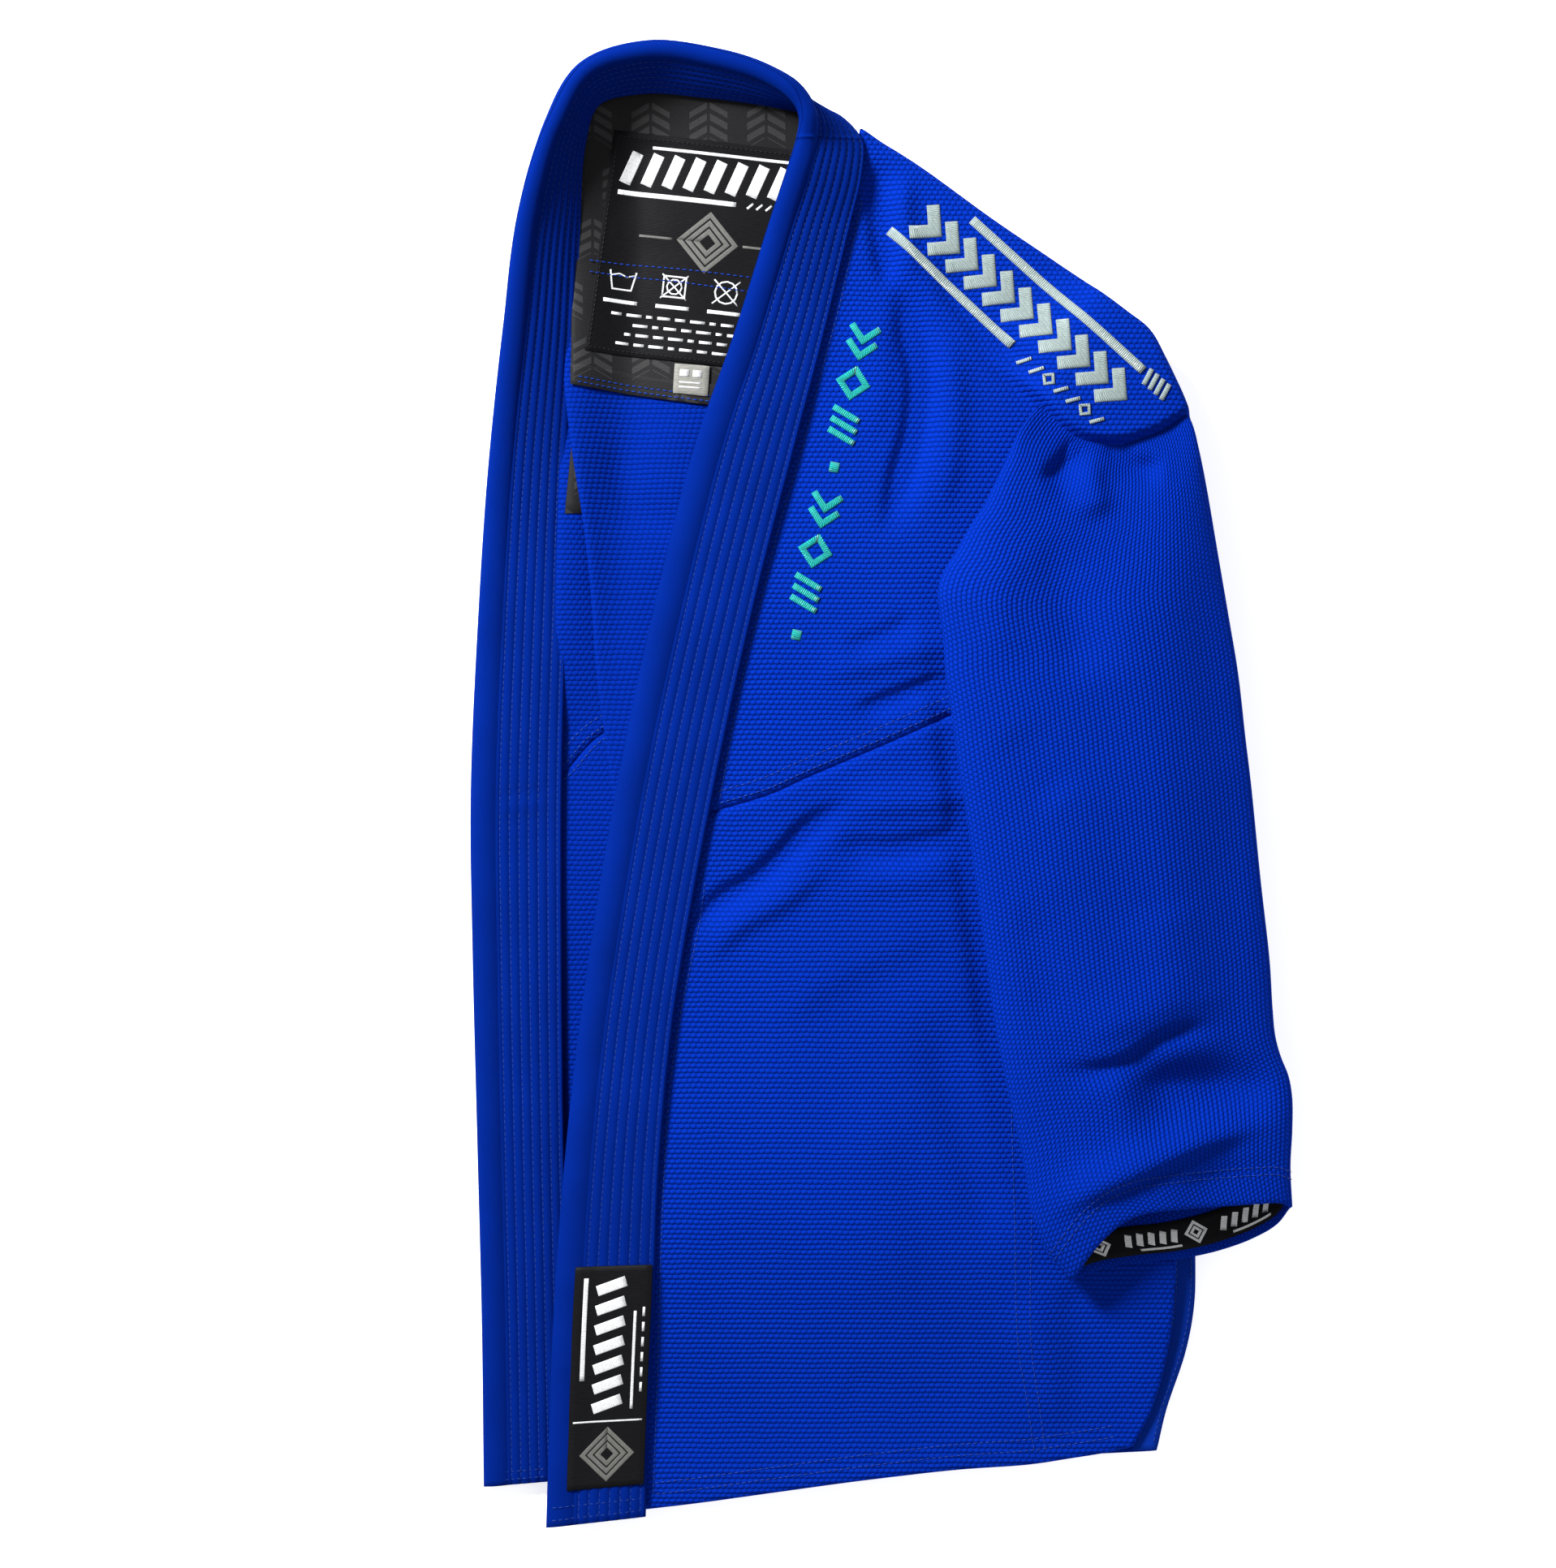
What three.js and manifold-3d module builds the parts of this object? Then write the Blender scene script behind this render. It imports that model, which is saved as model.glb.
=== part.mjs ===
// Martial arts jacket, folded in half along the back and laid flat.
// Millimetres, +Z up. +Y runs from the hem to the collar, +X from the lapels to the sleeve.
// The origin is under the middle of the folded jacket, on the surface it lies on.
//
// From the bottom up the stack is: right sleeve, right front with its lapel, back (folded in
// two), yoke lining, left front with its lapel, left sleeve.

import * as THREE from 'three';
import { mergeVertices } from 'three/addons/utils/BufferGeometryUtils.js';
import Module from 'manifold-3d';

const wasm = await Module();
wasm.setup();

// ---- driving dimensions -------------------------------------------------------------

const LAID_LENGTH = 797;        // collar top to lapel end
const LAID_WIDTH = 442;         // right lapel edge to left cuff

const CLOTH = 2.0;              // pearl weave panel
const LINING = 1.0;             // ripstop lining and twill tape
const LABEL = 0.6;              // woven labels and embroidery
const GAP = 0.3;                // running clearance between neighbours
const SEAM_GAP = 0.5;           // clearance beside a seam
const FOLD_GAP = 1.4;           // air inside the fold of the back

const STITCHED_THICKNESS = 7;   // quilted part of the collar strip
const ROLL_THICKNESS = 10;      // padded free edge of the collar strip
const ROLL_WIDTH = 16;
const COVER = 1.5;              // cotton cover round the collar core
const CORE_INSET = 3;           // how far the core stops short of the end of its cover

const SLEEVE_WALL = 2.0;
const FLAT_SLEEVE_HEIGHT = 7;   // the right sleeve, pressed flat under the stack
const CUFF_TAPE_WIDTH = 16;

// ---- the stack of layers ------------------------------------------------------------

const RIGHT_GUSSET_Z = FLAT_SLEEVE_HEIGHT + GAP;
const RIGHT_FRONT_Z = RIGHT_GUSSET_Z + LABEL + GAP;
const RIGHT_TRIM_Z = RIGHT_FRONT_Z + CLOTH + GAP;
const BACK_LOW_Z = RIGHT_TRIM_Z + LINING + GAP;
const BACK_HIGH_Z = BACK_LOW_Z + CLOTH + FOLD_GAP;
const BACK_TOP_Z = BACK_HIGH_Z + CLOTH;
const YOKE_Z = BACK_TOP_Z + GAP;
const NECK_LABEL_Z = YOKE_Z + LINING + GAP;
const LEFT_FRONT_Z = YOKE_Z + LINING + GAP;
const LEFT_FRONT_TOP_Z = LEFT_FRONT_Z + CLOTH;
const FRONT_TRIM_Z = LEFT_FRONT_TOP_Z + GAP;
const LEFT_SLEEVE_Z = FRONT_TRIM_Z + LABEL + GAP;

const COLLAR_LOW_Z = ROLL_THICKNESS / 2;
const COLLAR_HIGH_Z = NECK_LABEL_Z + LABEL + GAP + STITCHED_THICKNESS / 2;

// ---- small helpers ------------------------------------------------------------------

const X = (x) => x * LAID_WIDTH / 442;
const Y = (y) => y * LAID_LENGTH / 797;

// A smooth line through a few [x, y] points.
function line(points, samples = 14) {
  const curve = new THREE.CatmullRomCurve3(
    points.map(([x, y]) => new THREE.Vector3(X(x), Y(y), 0)), false, 'centripetal');
  return curve.getPoints(samples).map((p) => [p.x, p.y]);
}

// The same line moved sideways by a clearance that doesn't grow with the jacket.
const shifted = (points, dx, dy = 0) => points.map(([x, y]) => [x + dx, y + dy]);
const reversed = (points) => [...points].reverse();

// A flat panel: edges joined end to end, extruded upwards from z.
function panel(edges, z, thickness) {
  const points = edges.flat().map(([x, y]) => new THREE.Vector2(x, y));
  const shape = new THREE.Shape(points);
  const geometry = new THREE.ExtrudeGeometry(shape, { depth: thickness, bevelEnabled: false });
  geometry.translate(0, 0, z);
  return geometry;
}

function solidOf(geometry) {
  const bare = geometry.clone();
  for (const name of Object.keys(bare.attributes)) {
    if (name !== 'position') bare.deleteAttribute(name);
  }
  const merged = mergeVertices(bare, 1e-4);
  return new wasm.Manifold(new wasm.Mesh({
    numProp: 3,
    vertProperties: new Float32Array(merged.attributes.position.array),
    triVerts: new Uint32Array(merged.index.array),
  }));
}

function geometryOf(solid) {
  const mesh = solid.getMesh();
  const geometry = new THREE.BufferGeometry();
  geometry.setAttribute('position', new THREE.BufferAttribute(mesh.vertProperties, 3));
  geometry.setIndex(new THREE.BufferAttribute(mesh.triVerts, 1));
  return geometry;
}

// A closed body through a row of sections. Each section has an outer ring of points, and an
// inner ring too where the body is a tube with open ends.
function loft(outer, inner = null) {
  const positions = [];
  const index = [];
  const rings = outer.length;
  const n = outer[0].length;
  const push = (ring) => ring.forEach((p) => positions.push(p.x, p.y, p.z));
  outer.forEach(push);
  const quad = (a, b, c, d) => index.push(a, b, c, a, c, d);
  const side = (base, flip) => {
    for (let i = 0; i < rings - 1; i += 1) {
      for (let j = 0; j < n; j += 1) {
        const k = (j + 1) % n;
        const a = base + i * n + j;
        const b = base + i * n + k;
        const c = base + (i + 1) * n + k;
        const d = base + (i + 1) * n + j;
        if (flip) quad(a, d, c, b);
        else quad(a, b, c, d);
      }
    }
  };
  side(0, false);
  if (inner) {
    inner.forEach(push);
    const base = rings * n;
    side(base, true);
    for (let j = 0; j < n; j += 1) {
      const k = (j + 1) % n;
      quad(j, base + j, base + k, k);
      const end = (rings - 1) * n;
      quad(end + k, base + end + k, base + end + j, end + j);
    }
  } else {
    const cap = (ring, offset, flip) => {
      const u = ring[1].clone().sub(ring[0]).normalize();
      const normal = new THREE.Vector3();
      for (let j = 0; j < n; j += 1) normal.add(ring[j].clone().cross(ring[(j + 1) % n]));
      const v = normal.normalize().clone().cross(u);
      const flat = ring.map((p) => new THREE.Vector2(p.dot(u), p.dot(v)));
      for (const [a, b, c] of THREE.ShapeUtils.triangulateShape(flat, [])) {
        if (flip) index.push(offset + a, offset + c, offset + b);
        else index.push(offset + a, offset + b, offset + c);
      }
    };
    cap(outer[0], 0, true);
    cap(outer[rings - 1], (rings - 1) * n, false);
  }
  const geometry = new THREE.BufferGeometry();
  geometry.setAttribute('position', new THREE.Float32BufferAttribute(positions, 3));
  geometry.setIndex(index);
  return outwards(geometry);
}

// Turns every face round where the body came out inside out.
function outwards(geometry) {
  const p = geometry.attributes.position;
  const index = geometry.index.array;
  const [a, b, c] = [new THREE.Vector3(), new THREE.Vector3(), new THREE.Vector3()];
  let volume = 0;
  for (let i = 0; i < index.length; i += 3) {
    a.fromBufferAttribute(p, index[i]);
    b.fromBufferAttribute(p, index[i + 1]);
    c.fromBufferAttribute(p, index[i + 2]);
    volume += a.dot(b.cross(c));
  }
  if (volume < 0) {
    for (let i = 0; i < index.length; i += 3) {
      [index[i + 1], index[i + 2]] = [index[i + 2], index[i + 1]];
    }
  }
  return geometry;
}

const group = new THREE.Group();

function add(name, geometry, colour, roughness = 0.9) {
  const material = new THREE.MeshStandardMaterial({ color: colour, roughness, metalness: 0 });
  const mesh = new THREE.Mesh(geometry, material);
  mesh.name = name;
  group.add(mesh);
}

const BLUE = '#0a3fae';
const LAPEL_BLUE = '#06318c';
const BLACK = '#1b1c20';
const FOAM = '#d9d5c8';
const SILVER = '#a9b3b0';
const TEAL = '#12b5b0';

// ---- outlines -----------------------------------------------------------------------

// Where the right front meets its lapel, from the hem up.
const RIGHT_SEAM = line([[-166, -371], [-170, -190], [-171, 0], [-167, 120], [-160, 240],
  [-155, 310], [-146, 352]]);
// The fold of the back: an edge that runs down from beside the neck.
const BACK_FOLD = line([[-146, 352], [-158, 320], [-159, 215], [-157, 150], [-149, 40],
  [-132, -50], [-126, -180], [-126, -373]]);
// Neck edge of the back, from the fold round to the shoulder point.
const NECK_EDGE = line([[-146, 352], [-138, 362], [-120, 366], [-80, 361], [-48, 355],
  [-14, 340]]);
// Shoulder slope, then down the side to the vent.
const BACK_SIDE = line([[-14, 340], [60, 297], [130, 248], [148, 215], [155, 100], [160, 0],
  [165, -150], [167.5, -262], [162, -305], [146, -356]], 26);
const RIGHT_SIDE = line([[-14, 340], [60, 297], [130, 248], [146, 215], [152, 100], [156, 0],
  [160, -150], [161, -262], [156, -305], [142, -350]], 26);
const FRONT_SIDE = line([[-2, 345], [60, 302.5], [105, 272], [140, 243.5], [158, 215],
  [152, 120], [152, 0], [153, -150], [154, -270], [148, -315], [133, -354]], 28);

// The line that the left front bends along when it is opened, from the neck to the hem.
const HINGE_TOP = [-9, 350];
const HINGE_BOTTOM = [45, -367];
const hingeX = (y) => {
  const t = (y - HINGE_TOP[1]) / (HINGE_BOTTOM[1] - HINGE_TOP[1]);
  return HINGE_TOP[0] + t * (HINGE_BOTTOM[0] - HINGE_TOP[0]);
};
const onHinge = (y) => [hingeX(y), y];
const FLAP_TOP_Y = 312;
const FLAP_HEM_Y = -367;

// Where the left front meets its lapel, from the neck down.
const LEFT_SEAM_POINTS = [[-10, 343], [-11, 328], [-17, 300], [-31, 240], [-47, 180], [-67, 100],
  [-79, 50], [-89, 0], [-99, -60], [-110, -120], [-118.5, -200], [-122, -280], [-125, -350],
  [-126, -388]];
const SKIRT_SEAM_LEFT = [-91.5, -14];
const SKIRT_SEAM_MID_Y = 27;
const SKIRT_SEAM_SIDE = [152, 84];

// Collar strip: for each station the sewn edge and the free edge, as [x, y, share of the climb
// from the low level to the high level] and [x, y, height above the sewn edge].
const COLLAR_STATIONS = [
  [[-166, -371, 0], [-213.5, -375, 0]],
  [[-168, -290, 0], [-214.5, -290, 0]],
  [[-170, -190, 0], [-217, -190, 0]],
  [[-171, -90, 0], [-219.5, -90, 0]],
  [[-171, 0, 0], [-220.5, -5, 0]],
  [[-169, 85, 0.05], [-216.5, 90, 2]],
  [[-167, 165, 0.25], [-211, 172, 9]],
  [[-164, 235, 0.6], [-203, 246, 18]],
  [[-162, 295, 0.85], [-194.5, 308, 25]],
  [[-159, 338, 1], [-179, 356, 28]],
  [[-147, 364, 1], [-160, 385, 29]],
  [[-125, 371, 1], [-125, 396.5, 29]],
  [[-95, 369.5, 1], [-88, 393.5, 29]],
  [[-65, 366, 1], [-61, 384, 29]],
  [[-42, 362, 1], [-47, 373, 29]],
  [[-23, 357, 1], [-43, 360, 26]],
  [[-11.5, 346, 1], [-45.5, 347, 20]],
  [[-11.5, 328, 1], [-51, 330, 15]],
  [[-17.5, 300, 1], [-62, 300, 10]],
  [[-31.5, 240, 1], [-80.5, 240, 4]],
  [[-47.5, 180, 1], [-101.5, 180, 0]],
  [[-67.5, 100, 1], [-121, 100, -0.5]],
  [[-89.5, 0, 1], [-142, 0, 0]],
  [[-110.5, -120, 1], [-161, -121, -4]],
  [[-119, -200, 1], [-170, -201, -4]],
  [[-122.5, -280, 1], [-176, -282, -4]],
  [[-125, -345, 1], [-178.5, -348, -4]],
  [[-126.5, -391, 1], [-180, -397, -4]],
];
const SEGMENTS_PER_STATION = 2;
const RIGHT_LAPEL_END = 7;      // station where the right lapel passes into the neck
const LEFT_LAPEL_START = 17;    // station where the neck passes into the left lapel
const SPLIT_GAP = 0.8;
const SWING_ROOM = 1.2;           // more room where the left lapel turns beside the neck

// Sleeve stations from the shoulder to the cuff: left edge, right edge and height.
const LEFT_SLEEVE = [
  [[78, 184], [168.5, 186], 15],
  [[60, 158], [174, 160], 19],
  [[42, 128], [179, 132], 22],
  [[31, 98], [184.5, 100], 23],
  [[34, 58], [191, 60], 23],
  [[41, 8], [197.5, 5], 23],
  [[48, -38], [202, -40], 23],
  [[56, -95], [208, -92], 22],
  [[64, -145], [214.5, -142], 22],
  [[70, -178], [220, -170], 24],
  [[79, -228], [220, -200], 25],
  [[101, -265], [220.5, -226], 24],
];
const RIGHT_SLEEVE = [
  [[48, 205], [140, 205], 1],
  [[20, 150], [146, 150], 1],
  [[8, 90], [148, 90], 1],
  [[10, 0], [148, 0], 1],
  [[14, -90], [146, -90], 1],
  [[20, -170], [144, -170], 1],
  [[24, -236], [142, -230], 1],
];

// ---- collar strip -------------------------------------------------------------------

const collarCurve = (side, z) => new THREE.CatmullRomCurve3(
  COLLAR_STATIONS.map((s) => new THREE.Vector3(X(s[side][0]), Y(s[side][1]), z(s))),
  false, 'centripetal');
const sewnZ = (s) => COLLAR_LOW_Z + s[0][2] * (COLLAR_HIGH_Z - COLLAR_LOW_Z);
const sewnEdge = collarCurve(0, sewnZ);
const freeEdge = collarCurve(1, (s) => sewnZ(s) + s[1][2]);
const LAST_STATION = COLLAR_STATIONS.length - 1;

// Local frame of the strip: across it from the sewn edge, and out of its inner face.
function collarFrame(station) {
  const t = station / LAST_STATION;
  const sewn = sewnEdge.getPoint(t);
  const free = freeEdge.getPoint(t);
  sewn.z = Math.max(sewn.z, COLLAR_LOW_Z);
  free.z = Math.max(free.z, COLLAR_LOW_Z);
  const along = sewnEdge.getTangent(t).add(freeEdge.getTangent(t)).normalize();
  const across = free.clone().sub(sewn);
  const width = across.length();
  across.normalize();
  const normal = along.cross(across).normalize();
  return { sewn, across, normal, width };
}

const onStrip = (f, a, h) => f.sewn.clone()
  .addScaledVector(f.across, a)
  .addScaledVector(f.normal, h);

// Section of the strip, flat where it is quilted and round at the free edge. inset shrinks it.
function stripSection(f, inset) {
  const flat = STITCHED_THICKNESS / 2 - inset;
  const roll = ROLL_THICKNESS / 2 - inset;
  const tip = f.width - inset;
  const neck = f.width - ROLL_WIDTH - inset * 0.4;
  const half = [
    [inset, flat],
    [neck, flat],
    [neck + 4, roll],
    [tip - 5 + inset * 0.4, roll],
    [tip - 1.6, roll * 0.6],
  ];
  const top = half.map(([a, h]) => onStrip(f, a, h));
  const bottom = half.map(([a, h]) => onStrip(f, a, -h)).reverse();
  return [...top, onStrip(f, tip, 0), ...bottom];
}

// The stations from a to b, kept clear of the ends by a length in millimetres. The core starts
// and stops at the second and the last but one, a little inside its cover.
function stripStations(a, b, clearA, clearB) {
  const span = (u, v) => sewnEdge.getPoint(u / LAST_STATION)
    .distanceTo(sewnEdge.getPoint(v / LAST_STATION));
  const from = a + clearA / span(a, a + 1);
  const to = b - clearB / span(b - 1, b);
  const count = Math.round((b - a) * SEGMENTS_PER_STATION);
  const stations = Array.from({ length: count + 1 }, (_, i) => from + (to - from) * i / count);
  stations.splice(1, 0, from + CORE_INSET / span(a, a + 1));
  stations.splice(-1, 0, to - CORE_INSET / span(b - 1, b));
  return stations;
}

function collarPieces(name, a, b, clearA, clearB) {
  const frames = stripStations(a, b, clearA, clearB).map(collarFrame);
  add(`${name}_cover`, loft(frames.map((f) => stripSection(f, 0)),
    frames.map((f) => stripSection(f, COVER))), LAPEL_BLUE);
  add(`${name}_core`, loft(frames.slice(1, -1).map((f) => stripSection(f, COVER + GAP))),
    FOAM, 0.8);
}

// ---- sleeves ------------------------------------------------------------------------

function sleeveFrames(stations, height, samples) {
  const left = new THREE.CatmullRomCurve3(
    stations.map(([l]) => new THREE.Vector3(X(l[0]), Y(l[1]), 0)), false, 'centripetal');
  const right = new THREE.CatmullRomCurve3(
    stations.map(([, r, h]) => new THREE.Vector3(X(r[0]), Y(r[1]), h * height)),
    false, 'centripetal');
  return Array.from({ length: samples + 1 }, (_, i) => {
    const l = left.getPoint(i / samples);
    const r = right.getPoint(i / samples);
    const tall = r.z;
    r.z = 0;
    return { l, r, tall };
  });
}

// Flattened round section, wider than tall, shrunk by inset.
function sleeveSection(f, z, inset, sides = 16) {
  const middle = f.l.clone().add(f.r).multiplyScalar(0.5);
  const across = f.r.clone().sub(f.l).normalize();
  const halfWidth = f.r.distanceTo(f.l) / 2 - inset;
  const halfHeight = f.tall / 2 - inset;
  const squash = (v, power) => Math.sign(v) * Math.abs(v) ** power;
  const flatTop = Math.cos(Math.PI / sides);
  return Array.from({ length: sides }, (_, i) => {
    const angle = (i / sides) * Math.PI * 2 + Math.PI / sides;
    const s = squash(Math.cos(angle), 0.55) * halfWidth;
    const p = middle.clone().addScaledVector(across, s);
    p.z = z + f.tall / 2 + squash(Math.sin(angle) / flatTop, 0.75) * halfHeight;
    return p;
  });
}

function sleeve(side, stations, height, z, tapeThickness) {
  const samples = (stations.length - 1) * 2;
  const frames = sleeveFrames(stations, height, samples);
  add(`${side}_sleeve`, loft(frames.map((f) => sleeveSection(f, z, 0)),
    frames.map((f) => sleeveSection(f, z, SLEEVE_WALL))), BLUE);

  // The tape is a band inside the cuff, between the last two frames, inside the wall.
  const end = frames[samples];
  const before = frames[samples - 1];
  const pitch = end.l.distanceTo(before.l) / 2 + end.r.distanceTo(before.r) / 2;
  const blend = (share) => ({
    l: before.l.clone().lerp(end.l, share),
    r: before.r.clone().lerp(end.r, share),
    tall: before.tall + (end.tall - before.tall) * share,
  });
  const mouth = 1 - 1.5 / pitch;
  const deep = Math.max(0.02, mouth - CUFF_TAPE_WIDTH / pitch);
  const band = [blend(deep), blend(mouth)];
  const inset = SLEEVE_WALL + GAP;
  add(`${side}_cuff_tape`, loft(band.map((f) => sleeveSection(f, z, inset)),
    band.map((f) => sleeveSection(f, z, inset + tapeThickness))), BLACK);
}

// ---- right half, at the bottom of the stack -----------------------------------------

sleeve('right', RIGHT_SLEEVE, FLAT_SLEEVE_HEIGHT, 0, 0.8);

const gusset = (points, z) => panel([line([...points, points[0]], 12).slice(0, -1)], z, LABEL);
add('right_gusset', gusset([[30, 170], [92, 168], [96, 84], [34, 88]], RIGHT_GUSSET_Z), BLUE);

const RIGHT_SKIRT_SEAM = line([[-171, 3], [-150, 24], [-60, 55], [154, 84]], 10);
const rightSeamEdge = shifted(RIGHT_SEAM, SEAM_GAP);
const above = (points, limit) => points.filter(([, y]) => y > Y(limit));
const below = (points, limit) => points.filter(([, y]) => y < Y(limit));

add('right_front_upper', panel([
  shifted(RIGHT_SKIRT_SEAM, SEAM_GAP, GAP).slice(0, -1),
  reversed(above(RIGHT_SIDE, 90)),
  reversed(above(rightSeamEdge, 10)),
], RIGHT_FRONT_Z, CLOTH), BLUE);

add('right_front_skirt', panel([
  reversed(shifted(RIGHT_SKIRT_SEAM, SEAM_GAP, -GAP)).slice(1),
  reversed(below(rightSeamEdge, -5)),
  reversed(below(RIGHT_SIDE, 78)),
], RIGHT_FRONT_Z, CLOTH), BLUE);

add('right_yoke_lining', panel([
  line([[-158, 146], [-154, 240], [-150, 310], [-141, 348]], 6),
  shifted(NECK_EDGE, 2, -4).slice(4),
  line([[60, 290], [118, 250], [124, 205], [-40, 150]], 6),
], RIGHT_TRIM_Z, LINING), BLACK);

function ventTape(edge, from, to, width, z) {
  const stretch = edge.filter(([, y]) => y < Y(from) && y > Y(to));
  return panel([stretch, reversed(shifted(stretch, -width))], z, LINING);
}
const VENT_TAPE_WIDTH = 12;
const ventEdge = line([[164, -200], [166, -262], [160.5, -305], [145, -352]], 12);
add('right_back_vent_tape', ventTape(shifted(ventEdge, -8), -205, -350, VENT_TAPE_WIDTH,
  RIGHT_TRIM_Z), LAPEL_BLUE);

// ---- back, folded in two ------------------------------------------------------------

const backHem = line([[-126, -373], [0, -366], [146, -356]], 6);
const backLayer = (z) => solidOf(panel([
  reversed(BACK_FOLD).slice(1), NECK_EDGE.slice(1), BACK_SIDE.slice(1),
  reversed(backHem).slice(1),
], z, CLOTH));
const foldWall = solidOf(panel([
  reversed(BACK_FOLD), shifted(BACK_FOLD, CLOTH),
], BACK_LOW_Z, BACK_TOP_Z - BACK_LOW_Z));
add('back_panel', geometryOf(
  backLayer(BACK_LOW_Z).add(backLayer(BACK_HIGH_Z)).add(foldWall)), BLUE);

const yokeHem = line([[-157.5, 213], [-93, 204.5], [20, 196], [126, 206]], 8);
add('yoke_lining', panel([
  yokeHem,
  line([[128, 240], [60, 287], [-12, 331]], 5),
  shifted(reversed(NECK_EDGE), 0, -6).slice(2),
  line([[-151, 340], [-156.5, 300]], 3),
], YOKE_Z, LINING), BLACK);

const NECK_LABEL_CORNERS = [[-148, 348], [-36, 338], [-44, 222], [-156, 231]];
const quad = (corners) => corners.map(([x, y]) => [X(x), Y(y)]);
add('neck_label', panel([quad(NECK_LABEL_CORNERS)], NECK_LABEL_Z, LABEL), BLACK);
add('size_label', panel([quad([[-111, 225.5], [-93, 224], [-94, 209.5], [-112, 211]])],
  NECK_LABEL_Z, LABEL), SILVER);

add('left_back_vent_tape', ventTape(ventEdge, -205, -350, VENT_TAPE_WIDTH, YOKE_Z),
  LAPEL_BLUE);
add('left_side_tape', panel([
  line([[138, 100], [140, -60], [141, -190]], 6),
  line([[151, -190], [150, -60], [149, 100]], 6),
], YOKE_Z, LINING), LAPEL_BLUE);

// ---- left front: the side part stays, the flap opens --------------------------------

const leftSeam = shifted(line(LEFT_SEAM_POINTS, 24), SEAM_GAP);
const seamBetween = (top, bottom) => leftSeam.filter(([, y]) => y < Y(top) && y > Y(bottom));
const hingeSide = (yTop, yBottom, clear) => shifted(line([onHinge(yTop), onHinge(yBottom)], 4),
  clear);
const HINGE_GAP = 0.4;
const skirtSeamAtHinge = onHinge(SKIRT_SEAM_MID_Y);
const leftHem = line([[-126, -388.5], [-60, -380.5], [0, -372.5], [45, -367], [90, -363],
  [133, -354]], 14);
const nearHinge = (points, side) => points.filter(([x]) => side * (x - X(45)) > 3);

add('left_front_upper_flap', panel([
  seamBetween(FLAP_TOP_Y, -10),
  shifted(line([SKIRT_SEAM_LEFT, skirtSeamAtHinge], 1), 0, GAP).slice(0, -1),
  reversed(hingeSide(FLAP_TOP_Y, SKIRT_SEAM_MID_Y + 1, -HINGE_GAP)),
], LEFT_FRONT_Z, CLOTH), BLUE);

add('left_front_skirt_flap', panel([
  seamBetween(-18, -387),
  nearHinge(leftHem, -1).slice(1),
  reversed(hingeSide(SKIRT_SEAM_MID_Y - 1, FLAP_HEM_Y, -HINGE_GAP)),
  shifted(line([SKIRT_SEAM_LEFT, skirtSeamAtHinge], 1), 0, -GAP - 1).slice(0, -1),
], LEFT_FRONT_Z, CLOTH), BLUE);

add('left_front_upper_side', panel([
  [[X(-8), Y(342)]],
  seamBetween(338, FLAP_TOP_Y + 1),
  [[X(hingeX(FLAP_TOP_Y + 1)) + HINGE_GAP, Y(FLAP_TOP_Y + 1)]],
  hingeSide(FLAP_TOP_Y, SKIRT_SEAM_MID_Y + 1, HINGE_GAP),
  shifted(line([[60, 48], SKIRT_SEAM_SIDE], 2), 0, GAP),
  reversed(above(FRONT_SIDE, 88)),
], LEFT_FRONT_Z, CLOTH), BLUE);

add('left_front_skirt_side', panel([
  hingeSide(SKIRT_SEAM_MID_Y - 1, FLAP_HEM_Y, HINGE_GAP),
  nearHinge(leftHem, 1).slice(0, -1),
  reversed(below(FRONT_SIDE, 80)),
  reversed(shifted(line([[60, 48], SKIRT_SEAM_SIDE], 2), 0, -GAP)),
], LEFT_FRONT_Z, CLOTH), BLUE);

add('left_gusset', gusset([[92, 168], [128, 168], [120, 70], [84, 80]], FRONT_TRIM_Z), BLUE);

add('shoulder_embroidery', panel([quad([[14, 290], [27, 322], [84, 284], [120, 258], [152, 214],
  [122, 194], [66, 236]])], FRONT_TRIM_Z, LABEL), SILVER, 0.5);

const chestMid = line([[-10, 244], [-28, 170], [-48, 72]], 8);
add('chest_embroidery', panel([shifted(chestMid, -6), reversed(shifted(chestMid, 8))],
  FRONT_TRIM_Z, LABEL), TEAL, 0.6);

// ---- collar strip, one sewn piece drawn as three stretches --------------------------

collarPieces('right_lapel', 0, RIGHT_LAPEL_END, 0, SPLIT_GAP / 2);
collarPieces('neck_collar', RIGHT_LAPEL_END, LEFT_LAPEL_START, SPLIT_GAP / 2, SPLIT_GAP / 2);
collarPieces('left_lapel', LEFT_LAPEL_START, LAST_STATION, SPLIT_GAP + SWING_ROOM, 0);

// The patch lies on the outer face of the quilted part, near the end of the left lapel.
const LAPEL_LABEL_STATIONS = [24.7, 25.3, 26, 26.6];
const LAPEL_LABEL_ACROSS = [1, 36];
const patch = LAPEL_LABEL_STATIONS.map(collarFrame).map((f) => {
  const [near, far] = LAPEL_LABEL_ACROSS;
  const low = -(STITCHED_THICKNESS / 2 + GAP);
  const high = low - LABEL;
  return [onStrip(f, near, low), onStrip(f, far, low), onStrip(f, far, high),
    onStrip(f, near, high)];
});
add('lapel_label', loft(patch), BLACK);

// ---- left sleeve, on top ------------------------------------------------------------

sleeve('left', LEFT_SLEEVE, 1, LEFT_SLEEVE_Z, LINING);

export default group;
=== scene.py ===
"""Martial arts jacket folded in half and laid flat: the cloth, padding, stitching and labels.

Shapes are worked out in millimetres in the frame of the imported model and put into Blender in
metres. Plan outlines are drawn for a jacket DRAWN_WIDTH by DRAWN_LENGTH and scaled to the frame.
"""

import math

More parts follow.
